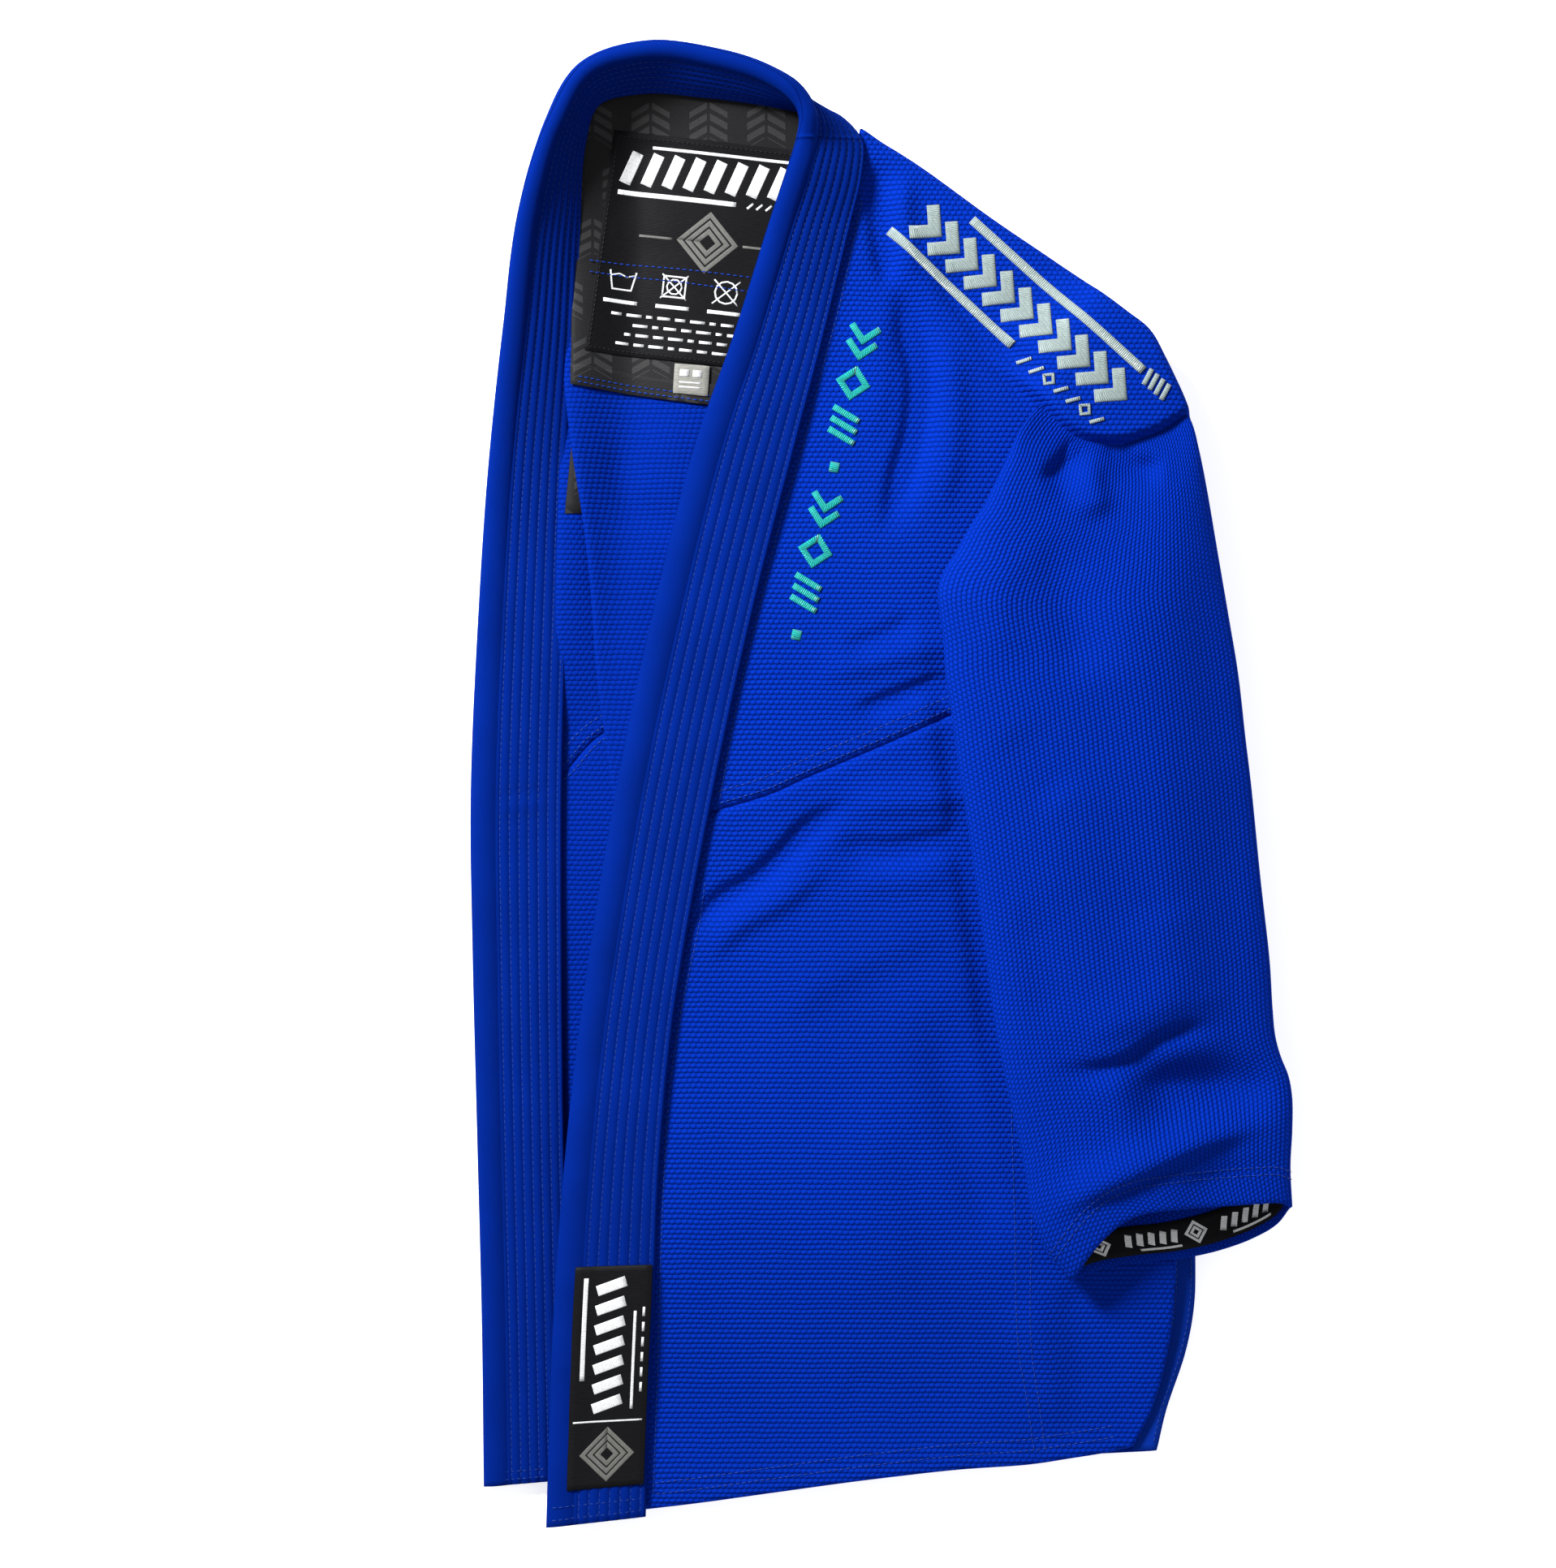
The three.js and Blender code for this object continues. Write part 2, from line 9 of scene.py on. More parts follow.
import bpy
import numpy as np
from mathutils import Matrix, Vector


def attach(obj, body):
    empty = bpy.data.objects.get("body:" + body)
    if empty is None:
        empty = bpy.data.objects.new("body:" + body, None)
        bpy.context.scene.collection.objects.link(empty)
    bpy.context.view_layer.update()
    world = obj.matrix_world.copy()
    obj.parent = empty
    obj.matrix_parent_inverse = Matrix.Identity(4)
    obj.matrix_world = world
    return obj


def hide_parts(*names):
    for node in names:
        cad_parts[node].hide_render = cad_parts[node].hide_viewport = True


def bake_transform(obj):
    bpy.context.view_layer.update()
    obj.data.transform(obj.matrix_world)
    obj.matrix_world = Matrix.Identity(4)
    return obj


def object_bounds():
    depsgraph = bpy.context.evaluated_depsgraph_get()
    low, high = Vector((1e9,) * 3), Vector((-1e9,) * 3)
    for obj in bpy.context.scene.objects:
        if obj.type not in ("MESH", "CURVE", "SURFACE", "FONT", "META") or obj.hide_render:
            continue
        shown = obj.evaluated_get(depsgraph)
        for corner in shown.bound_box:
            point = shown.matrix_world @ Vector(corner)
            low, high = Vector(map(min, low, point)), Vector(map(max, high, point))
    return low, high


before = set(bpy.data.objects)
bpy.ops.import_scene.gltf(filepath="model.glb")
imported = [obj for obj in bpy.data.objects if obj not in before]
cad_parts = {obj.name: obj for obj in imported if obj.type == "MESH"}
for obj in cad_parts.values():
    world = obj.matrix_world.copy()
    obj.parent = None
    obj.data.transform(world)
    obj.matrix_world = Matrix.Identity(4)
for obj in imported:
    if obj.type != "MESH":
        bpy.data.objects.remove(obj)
CAD_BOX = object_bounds()

# ---- sizes ---------------------------------------------------------------------------

MM = 0.001
DRAWN_WIDTH = 440.4
DRAWN_LENGTH = 794.7
SCALE_X = (CAD_BOX[1].x - CAD_BOX[0].x) / MM / DRAWN_WIDTH
SCALE_Y = (CAD_BOX[1].y - CAD_BOX[0].y) / MM / DRAWN_LENGTH

CLOTH = 1.8             # pearl weave
LINING = 0.8            # ripstop and tape
LABEL = 0.5

# Heights of the layers above the lowest cloth, to the top of each.
RIGHT_FRONT_TOP = 1.8
BACK_LOW_TOP = 5.0
BACK_HIGH_TOP = 7.4
YOKE_TOP = 8.5
LABEL_TOP = 9.2
LEFT_FRONT_TOP = 11.6   # at the hem
LEFT_FRONT_LOFT = 3.9   # how much looser the front lies higher up

HINGE_TOP = (-9.0, 350.0)
HINGE_BOTTOM = (45.0, -367.0)
HINGE_BAND = 16.0       # half the width of the band about the hinge line given as the front's bend

ROW_PLACES = (3.0, 8.3, 13.8, 19.3, 24.8, 30.3, 35.8)   # quilting rows from the sewn edge
STRIP_WIDTH = 53.0
STRIP_STEP = 2.2        # between rings of the strip's mesh
QUILTED_WIDTH = 38.0
ROLL_RADIUS = 8.4       # half the width of the smooth roll at the free edge
ROLL_RISE = 5.0         # half the roll's thickness
JOIN_STATION = 16       # where the neck collar passes into the left lapel

LIT_SIDE = (-0.66, 0.75)    # the way to the light, in plan
VIEW_CENTRE = (-55.7, 0.4)  # the point of the outlines that the camera looks straight down on
VIEW_LEVEL = 20.0           # the height at which the outlines were drawn
VIEW_HEIGHT = 1984.0        # the camera above that level


# ---- curves --------------------------------------------------------------------------

def smooth(t):
    t = np.clip(t, 0, 1)
    return t * t * (3 - 2 * t)


def unit(v):
    return v / np.maximum(np.linalg.norm(v, axis=-1, keepdims=True), 1e-9)


def scaled(points):
    """Drawn points, scaled to the frame's width and length."""
    points = np.array(points, float)
    points[:, 0] *= SCALE_X
    points[:, 1] *= SCALE_Y
    return points


def seen(x, y, z):
    """Where a drawn point lies if it is at height z: nearer the camera it looks larger."""
    share = 1 - (z - VIEW_LEVEL) / VIEW_HEIGHT
    return (VIEW_CENTRE[0] + (x - VIEW_CENTRE[0]) * share,
            VIEW_CENTRE[1] + (y - VIEW_CENTRE[1]) * share)


def centripetal(points, t):
    """Points of a centripetal Catmull-Rom curve. t runs from 0 to the number of spans."""
    p = np.vstack([2 * points[0] - points[1], points, 2 * points[-1] - points[-2]])
    i = np.clip(np.floor(t).astype(int), 0, len(points) - 2)
    w = (t - i)[:, None]
    a, b, c, d = p[i], p[i + 1], p[i + 2], p[i + 3]
    def root(v):
        return np.maximum(np.linalg.norm(v, axis=1, keepdims=True), 1e-6) ** 0.5

    ab, bc, cd = root(b - a), root(c - b), root(d - c)
    m1 = ((b - a) / ab - (c - a) / (ab + bc) + (c - b) / bc) * bc
    m2 = ((c - b) / bc - (d - b) / (bc + cd) + (d - c) / cd) * bc
    return (b + m1 * w + (-3 * b + 3 * c - 2 * m1 - m2) * w ** 2
            + (2 * b - 2 * c + m1 + m2) * w ** 3)


def distance_along(points):
    """Distance along a polyline to each of its points."""
    return np.r_[0, np.cumsum(np.linalg.norm(np.diff(points, axis=0), axis=1))]


def resampled(points, count):
    """count points evenly spaced along a polyline."""
    along = distance_along(points)
    wanted = np.linspace(0, along[-1], count)
    return np.stack([np.interp(wanted, along, points[:, k]) for k in range(points.shape[1])], 1)


def curve(points, count=200):
    """A smooth line through drawn points, evenly spaced."""
    points = scaled(points)
    fine = centripetal(points, np.linspace(0, len(points) - 1, 24 * len(points)))
    return resampled(fine, count)


def length_of(points):
    return np.linalg.norm(np.diff(points, axis=0), axis=1).sum()


def pinned(line, start, end):
    """A line slid so that its two ends meet the given points."""
    share = np.linspace(0, 1, len(line))[:, None]
    return line + (1 - share) * (start - line[0]) + share * (end - line[-1])


def shifted_along(line, distance):
    """A plan line moved sideways, to its left for a positive distance."""
    along = unit(np.gradient(line, axis=0))
    return line + np.column_stack([-along[:, 1], along[:, 0]]) * distance


def patch(top, right, bottom, left, rows, cols):
    """A grid of plan points between four edges. top and bottom run from left to right, and left
    and right run downwards."""
    top, bottom = resampled(top, cols), resampled(bottom, cols)
    u = np.linspace(0, 1, cols)[None, :, None]
    v = np.linspace(0, 1, rows)[:, None, None]
    left = pinned(resampled(left, rows), top[0], bottom[0])
    right = pinned(resampled(right, rows), top[-1], bottom[-1])
    ruled = (1 - v) * top[None] + v * bottom[None] + (1 - u) * left[:, None] + u * right[:, None]
    corners = ((1 - u) * (1 - v) * top[0] + u * (1 - v) * top[-1]
               + (1 - u) * v * bottom[0] + u * v * bottom[-1])
    return ruled - corners


def near(x, y, line):
    """Distance from each plan point to a polyline, and how far along it the nearest point is."""
    line = np.asarray(line, float)
    best = np.full(x.shape, 1e9)
    share = np.zeros(x.shape)
    along = distance_along(line)
    for k in range(len(line) - 1):
        a, d = line[k], line[k + 1] - line[k]
        t = np.clip(((x - a[0]) * d[0] + (y - a[1]) * d[1]) / (d @ d), 0, 1)
        gap = np.hypot(x - a[0] - t * d[0], y - a[1] - t * d[1])
        closer = gap < best
        best = np.where(closer, gap, best)
        share = np.where(closer, (along[k] + t * (along[k + 1] - along[k])) / along[-1], share)
    return best, share


def creases(x, y, folds):
    """Height that a list of folds adds. Each is (points, height, half width), and a negative
    height is a valley. A fold fades out at its ends, and the slope that turns away from the
    light is the steeper one."""
    total = np.zeros(x.shape)
    for points, height, width in folds:
        line = curve(points, 24)
        gap, share = near(x, y, line)
        at = share * (len(line) - 1)
        index = np.arange(len(line))
        nearest_x = np.interp(at, index, line[:, 0])
        nearest_y = np.interp(at, index, line[:, 1])
        lit = (x - nearest_x) * LIT_SIDE[0] + (y - nearest_y) * LIT_SIDE[1]
        toward = 0.5 + 0.5 * lit / np.maximum(gap, 0.5)
        steep = toward if height < 0 else 1 - toward
        fade = smooth(share / 0.3) * smooth((1 - share) / 0.3)
        total += height * fade * np.exp(-(gap / (width * (1.35 - 0.8 * steep))) ** 2)
    return total


def waves(x, y, seed, size, height):
    """Soft unevenness of laid cloth, about size millimetres from crest to crest."""
    rng = np.random.default_rng(seed)
    total = np.zeros(x.shape)
    for _ in range(7):
        angle = rng.uniform(0, math.pi)
        pitch = size * rng.uniform(0.7, 1.6)
        phase = rng.uniform(0, 2 * math.pi)
        total += np.sin((x * math.cos(angle) + y * math.sin(angle)) * 2 * math.pi / pitch + phase)
    return total * height / 7 ** 0.5


# ---- meshes --------------------------------------------------------------------------

def make_object(name, verts, faces, uv=None, material=None):
    """An object from millimetre vertices. uv holds cloth coordinates in metres by vertex."""
    mesh = bpy.data.meshes.new(name)
    mesh.from_pydata((np.asarray(verts) * MM).tolist(), [], [list(map(int, f)) for f in faces])
    mesh.update()
    if uv is not None:
        layer = mesh.uv_layers.new(name="cloth")
        index = np.empty(len(mesh.loops), int)
        mesh.loops.foreach_get("vertex_index", index)
        layer.data.foreach_set("uv", (np.asarray(uv) * MM)[index].astype(np.float32).ravel())
    mesh.shade_smooth()
    obj = bpy.data.objects.new(name, mesh)
    bpy.context.collection.objects.link(obj)
    if material is not None:
        mesh.materials.append(material)
    return obj


def grid_normals(p, wrap=False):
    """Unit normals of a grid of points, up where columns run to +X and rows run to -Y."""
    if wrap:
        across = np.roll(p, -1, axis=1) - np.roll(p, 1, axis=1)
    else:
        across = np.gradient(p, axis=1)
    down = np.gradient(p, axis=0)
    return unit(np.cross(down, across))


def quads(rows, cols, base, wrap=False, flip=False):
    last = cols if wrap else cols - 1
    r, c = np.meshgrid(np.arange(rows - 1), np.arange(last), indexing="ij")
    n = (c + 1) % cols
    a, b = base + r * cols + c, base + r * cols + n
    d, e = base + (r + 1) * cols + c, base + (r + 1) * cols + n
    order = (a, b, e, d) if flip else (a, d, e, b)
    return np.stack(order, -1).reshape(-1, 4)


def border(rows, cols):
    """Indices round the edge of a grid, once."""
    top = [(0, c) for c in range(cols)]
    right = [(r, cols - 1) for r in range(1, rows)]
    bottom = [(rows - 1, c) for c in range(cols - 2, -1, -1)]
    left = [(r, 0) for r in range(rows - 2, 0, -1)]
    return np.array([r * cols + c for r, c in top + right + bottom + left])


def cloth(name, top, thickness, material, uv=None):
    """A sheet of cloth: an upper and a lower face and a rounded edge. Its upper face is top."""
    rows, cols = top.shape[:2]
    normal = grid_normals(top)
    lower = top - normal * thickness
    ring = border(rows, cols)
    upper_edge, lower_edge = top.reshape(-1, 3)[ring], lower.reshape(-1, 3)[ring]
    along = np.roll(upper_edge, -1, axis=0) - np.roll(upper_edge, 1, axis=0)
    out = unit(np.cross(normal.reshape(-1, 3)[ring], along))
    middle = (upper_edge + lower_edge) / 2 + out * thickness * 0.4
    count = rows * cols
    verts = np.vstack([top.reshape(-1, 3), lower.reshape(-1, 3), middle])
    k = np.arange(len(ring))
    n = (k + 1) % len(ring)
    mid = 2 * count
    faces = np.vstack([
        quads(rows, cols, 0),
        quads(rows, cols, count, flip=True),
        np.stack([ring[k], ring[n], mid + n, mid + k], -1),
        np.stack([mid + k, mid + n, count + ring[n], count + ring[k]], -1),
    ])
    flat = top[:, :, :2].reshape(-1, 2) if uv is None else uv.reshape(-1, 2)
    return make_object(name, verts, faces, np.vstack([flat, flat, flat[ring]]), material)


def tube(name, outer, thickness, material, uv):
    """A sleeve of cloth with open ends. Each row of outer is one ring."""
    rows, cols = outer.shape[:2]
    inner = outer - grid_normals(outer, wrap=True) * thickness
    lip = [(outer[r] + inner[r]) / 2 + step * thickness * 0.4
           for r, step in ((0, unit(outer[0] - outer[1])), (-1, unit(outer[-1] - outer[-2])))]
    count = rows * cols
    verts = np.vstack([outer.reshape(-1, 3), inner.reshape(-1, 3), lip[0], lip[1]])
    k = np.arange(cols)
    n = (k + 1) % cols
    first, last = 2 * count, 2 * count + cols
    end = (rows - 1) * cols
    faces = np.vstack([
        quads(rows, cols, 0, wrap=True),
        quads(rows, cols, count, wrap=True, flip=True),
        np.stack([k, n, first + n, first + k], -1),
        np.stack([first + k, first + n, count + n, count + k], -1),
        np.stack([end + n, end + k, last + k, last + n], -1),
        np.stack([last + n, last + k, count + end + k, count + end + n], -1),
    ])
    flat = uv.reshape(-1, 2)
    return make_object(name, verts, faces,
                       np.vstack([flat, flat, uv[0], uv[-1]]), material)


def carried(obj, body, nodes=(), bend=None):
    """Puts a piece on its body, or, if a bend is given, only bakes its transform into its mesh;
    and hides the model's parts named in nodes. A bend is the stretch over which the piece would
    pass from the jacket to that body; only whether one is given is used."""
    if bend:
        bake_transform(obj)
    else:
        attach(obj, body)
    if nodes:
        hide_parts(*nodes)


def panel_sheet(obj, body, nodes, bend=None):
    carried(obj, body, nodes, bend)


# ---- stitches ------------------------------------------------------------------------

class Stitching:
    """Thread stitches gathered into one mesh, each a small capsule lying on the cloth."""

    TEMPLATE = np.array([[-0.5, 0, 0.1]]
                        + [[s, math.cos(a), math.sin(a)] for s in (-0.32, 0.32)
                           for a in np.arange(5) * 2 * math.pi / 5 + math.pi / 10]
                        + [[0.5, 0, 0.1]])

    def __init__(self):
        self.verts = []
        self.faces = []
        self.count = 0
        self.template_faces = (
            [[0, 1 + (k + 1) % 5, 1 + k] for k in range(5)]
            + [[1 + k, 1 + (k + 1) % 5, 6 + k] for k in range(5)]
            + [[1 + (k + 1) % 5, 6 + (k + 1) % 5, 6 + k] for k in range(5)]
            + [[6 + k, 6 + (k + 1) % 5, 11] for k in range(5)])

    def run(self, line, up, pitch=3.3, length=2.5, radius=0.33):
        """Stitches along a line of points. up is the cloth's normal at each point."""
        count = max(2, int(length_of(line) / pitch))
        both = resampled(line, count * 2 + 1)
        steps = distance_along(line)
        wanted = np.linspace(0, steps[-1], count * 2 + 1)
        ups = unit(np.stack([np.interp(wanted, steps, up[:, k]) for k in range(3)], 1))
        centre, along, normal = both[1::2], unit(both[2::2] - both[:-1:2]), ups[1::2]
        side = unit(np.cross(normal, along))
        t = self.TEMPLATE
        verts = (centre[:, None] + along[:, None] * t[None, :, 0:1] * length
                 + side[:, None] * t[None, :, 1:2] * radius
                 + normal[:, None] * t[None, :, 2:3] * radius)
        n = len(t)
        offsets = self.count + np.arange(len(centre)) * n
        self.faces.append((np.array(self.template_faces)[None] + offsets[:, None, None])
                          .reshape(-1, 3))
        self.verts.append(verts.reshape(-1, 3))
        self.count += len(centre) * n

    def on(self, plan, height, **kind):
        """Stitches along a plan line, lying on a height function."""
        z = height(plan[:, 0], plan[:, 1])
        up = np.tile([0.0, 0.0, 1.0], (len(plan), 1))
        self.run(np.column_stack([plan, z + 0.1]), up, **kind)

    def beside(self, seam, distances, first, last, height):
        """Rows of stitches to the left of a seam, from its point first to its point last."""
        for distance in distances:
            self.on(shifted_along(seam, distance)[first:last], height)

    def finish(self, name, material):
        return make_object(name, np.vstack(self.verts), np.vstack(self.faces),
                           material=material)


# ---- raised thread motifs ------------------------------------------------------------

class Motifs:
    """Ribbons of thread that follow a surface, gathered into one mesh."""

    def __init__(self, place, raised):
        self.place = place      # gives a point on the surface for local coordinates p and q
        self.raised = raised
        self.verts = []
        self.faces = []
        self.uv = []
        self.count = 0

    def ribbon(self, points, width, step=3.0, closed=False):
        """A ribbon along a polyline of local points, mitred at its corners."""
        points = np.array(points, float)
        if closed:
            points = np.vstack([points, points[:1]])
        span = np.diff(points, axis=0)
        long = np.linalg.norm(span, axis=1)
        side = np.column_stack([-span[:, 1], span[:, 0]]) / long[:, None]
        before = np.vstack([side[-1:] if closed else side[:1], side])
        after = np.vstack([side, side[:1] if closed else side[-1:]])
        mitre = (before + after) / (1 + (before * after).sum(1, keepdims=True)).clip(0.3)
        centre, offset, along = [], [], []
        travelled = np.r_[0, np.cumsum(long)]
        for k in range(len(span)):
            t = np.linspace(0, 1, max(2, int(long[k] / step) + 1))[:, None]
            if k < len(span) - 1:
                t = t[:-1]
            centre.append(points[k] * (1 - t) + points[k + 1] * t)
            offset.append(mitre[k] * (1 - t) + mitre[k + 1] * t)
            along.append(travelled[k] + long[k] * t[:, 0])
        centre, offset, along = np.vstack(centre), np.vstack(offset), np.concatenate(along)
        cross = np.array([-0.5, -0.42, -0.2, 0.2, 0.42, 0.5])
        lift = np.array([0, 0.75, 1, 1, 0.75, 0]) * self.raised
        local = centre[:, None] + offset[:, None] * (cross * width)[None, :, None]
        point = self.place(local[..., 0], local[..., 1])
        point[..., 2] += lift[None]
        rows = len(point)
        base = self.count
        low = base + rows * 6
        bottom = point[:, [0, -1]] - [0, 0, 0.25]
        self.verts += [point.reshape(-1, 3), bottom.reshape(-1, 3)]
        self.faces.append(quads(rows, 6, base, flip=True))
        r = np.arange(rows - 1)
        self.faces.append(np.stack([low + r * 2, base + r * 6, base + (r + 1) * 6,
                                    low + (r + 1) * 2], -1))
        self.faces.append(np.stack([base + r * 6 + 5, low + r * 2 + 1,
                                    low + (r + 1) * 2 + 1, base + (r + 1) * 6 + 5], -1))
        self.faces.append(quads(rows, 2, low))
        self.caps(base, low, rows)
        uv = np.stack([np.broadcast_to(along[:, None], (rows, 6)),
                       np.broadcast_to(cross * width, (rows, 6))], -1)
        self.uv += [uv.reshape(-1, 2), uv[:, [0, -1]].reshape(-1, 2)]
        self.count = low + rows * 2

    def caps(self, base, low, rows):
        """Closes the two ends of a ribbon."""
        end, low_end = base + (rows - 1) * 6, low + (rows - 1) * 2
        for ring, flip in (([base + k for k in range(6)] + [low + 1, low], True),
                           ([end + k for k in range(6)] + [low_end + 1, low_end], False)):
            fan = [[ring[0], ring[k], ring[k + 1]] for k in range(1, 7)]
            self.faces.append(np.array([f[::-1] if flip else f for f in fan]))

    def loop(self, points, width, step=3.0):
        self.ribbon(points, width, step, closed=True)

    def finish(self, name, material):
        faces = [f for group in self.faces for f in group.tolist()]
        return make_object(name, np.vstack(self.verts), faces, np.vstack(self.uv), material)


def plan_frame(origin, end, height, lift=0.2):
    """Local coordinates on a laid surface: p runs from origin to end and q to its left."""
    origin, end = scaled([origin, end])
    along = (end - origin) / np.linalg.norm(end - origin)
    side = np.array([-along[1], along[0]])

    def place(p, q):
        x = origin[0] + along[0] * p + side[0] * q
        y = origin[1] + along[1] * p + side[1] * q
        return np.stack([x, y, height(x, y) + lift], -1)
    return place


def chevron(motifs, p, q, size, width, turn=1):
    back, tip = p - turn * size / 2, p + turn * size / 2
    motifs.ribbon([(back, q - size), (tip, q), (back, q + size)], width)


def diamond(motifs, p, q, size, width):
    motifs.loop([(p - size, q), (p, q - size), (p + size, q), (p, q + size)], width)

def ring(motifs, p, q, radius, sides, width):
    motifs.loop([(p + radius * math.cos(f), q + radius * math.sin(f))
                 for f in np.arange(sides) * 2 * math.pi / sides], width)


# ---- materials -----------------------------------------------------------------------

class Nodes:
    """Shorthand for building a material's node tree."""

    def __init__(self, name, colour, roughness, specular=0.15, sheen=0.0, sheen_tint=None):
        self.material = bpy.data.materials.new(name)
        self.material.use_nodes = True
        self.tree = self.material.node_tree
        self.shader = self.tree.nodes["Principled BSDF"]
        self.shader.inputs["Base Color"].default_value = (*colour, 1)
        self.shader.inputs["Roughness"].default_value = roughness
        self.shader.inputs["Specular IOR Level"].default_value = specular
        self.shader.inputs["Sheen Weight"].default_value = sheen
        self.shader.inputs["Sheen Roughness"].default_value = 0.5
        if sheen_tint:
            self.shader.inputs["Sheen Tint"].default_value = (*sheen_tint, 1)

    def feed(self, socket, value):
        """Links a node's output to a socket, or sets the socket to a constant or a colour."""
        if isinstance(value, bpy.types.NodeSocket):
            self.tree.links.new(value, socket)
        else:
            socket.default_value = (*value, 1) if isinstance(value, tuple) else value

    def cloth_uv(self):
        node = self.tree.nodes.new("ShaderNodeUVMap")
        node.uv_map = "cloth"
        split = self.tree.nodes.new("ShaderNodeSeparateXYZ")
        self.feed(split.inputs[0], node.outputs["UV"])
        self.x, self.y = split.outputs["X"], split.outputs["Y"]
        return self.x, self.y

    def math(self, operation, a, b=0.0, clamp=False):
        node = self.tree.nodes.new("ShaderNodeMath")
        node.operation = operation
        node.use_clamp = clamp
        self.feed(node.inputs[0], a)
        self.feed(node.inputs[1], b)
        return node.outputs[0]

    def plus(self, a, b):
        return self.math("ADD", a, b)

    def minus(self, a, b):
        return self.math("SUBTRACT", a, b)

    def times(self, a, b):
        return self.math("MULTIPLY", a, b)

    def cells(self, value, pitch):
        """How far through its cell a coordinate is, in cells pitch metres long."""
        return self.math("FRACT", self.math("DIVIDE", value, pitch))

    def ridge(self, value, pitch):
        """A sharp ridge every pitch metres."""
        return self.math("ABSOLUTE", self.minus(self.cells(value, pitch), 0.5))

    def staggered(self, row):
        """Half a step sideways on every other row."""
        return self.times(self.math("FLOORED_MODULO", self.math("FLOOR", row), 2.0), 0.5)

    def noise(self, scale, detail, stretch=1.0):
        """Noise on the cloth's own coordinates, scale features to the metre."""
        join = self.tree.nodes.new("ShaderNodeCombineXYZ")
        self.feed(join.inputs[0], self.times(self.x, stretch))
        self.feed(join.inputs[1], self.y)
        node = self.tree.nodes.new("ShaderNodeTexNoise")
        node.inputs["Scale"].default_value = scale
        node.inputs["Detail"].default_value = detail
        self.feed(node.inputs["Vector"], join.outputs[0])
        return node.outputs[0]

    def mix(self, factor, first, second):
        node = self.tree.nodes.new("ShaderNodeMix")
        node.data_type = "RGBA"
        self.feed(node.inputs["Factor"], factor)
        self.feed(node.inputs[6], first)
        self.feed(node.inputs[7], second)
        return node.outputs[2]

    def colour(self, value):
        self.feed(self.shader.inputs["Base Color"], value)

    def bump(self, height, distance):
        node = self.tree.nodes.new("ShaderNodeBump")
        node.inputs["Distance"].default_value = distance
        node.inputs["Strength"].default_value = 1.0
        self.feed(node.inputs["Height"], height)
        self.feed(self.shader.inputs["Normal"], node.outputs[0])


def darker(colour, share):
    return tuple(c * share for c in colour)


def pearl_weave(name, colour, along_pitch, row_pitch, depth, contrast):
    """Rows of raised pearls, each row half a pearl on from the last."""
    n = Nodes(name, colour, 0.9, specular=0.01, sheen=0.06, sheen_tint=BLUE_SHEEN)
    x, y = n.cloth_uv()
    wobble = n.times(n.noise(60, 2), 0.0012)
    row = n.math("DIVIDE", n.plus(y, wobble), row_pitch * MM)
    place = n.plus(n.math("DIVIDE", x, along_pitch * MM), n.staggered(row))
    across = n.minus(n.math("FRACT", row), 0.5)
    along = n.minus(n.math("FRACT", place), 0.5)
    across2 = n.times(n.times(across, across), 3.6)
    along2 = n.times(n.times(along, along), 2.6)
    pearl = n.math("SUBTRACT", 1.0, n.plus(across2, along2), clamp=True)
    yarn = n.noise(1500, 2)
    n.bump(n.plus(n.math("POWER", pearl, 0.8), n.times(yarn, 0.25)), depth * MM)
    # The colour follows the pearls: their tops are a painted highlight and the gaps between them
    # a painted shade; the two noises add tone that varies at random.
    shade = n.plus(n.times(pearl, 0.45), n.times(n.noise(18, 3), 0.3))
    shade = n.plus(shade, n.times(yarn, 0.25))
    n.colour(n.mix(shade, darker(colour, 1 - contrast), darker(colour, 1 + contrast)))
    return n.material


def twill(name, colour, pitch=0.9, depth=0.25):
    """A fine diagonal weave."""
    n = Nodes(name, colour, 0.85, specular=0.01, sheen=0.05, sheen_tint=BLUE_SHEEN)
    x, y = n.cloth_uv()
    yarn = n.noise(1800, 2)
    n.bump(n.plus(n.ridge(n.plus(x, y), pitch * MM), n.times(yarn, 0.5)), depth * MM)
    shade = n.plus(n.times(n.noise(25, 3), 0.6), n.times(yarn, 0.4))
    n.colour(n.mix(shade, darker(colour, 0.7), darker(colour, 1.3)))
    return n.material


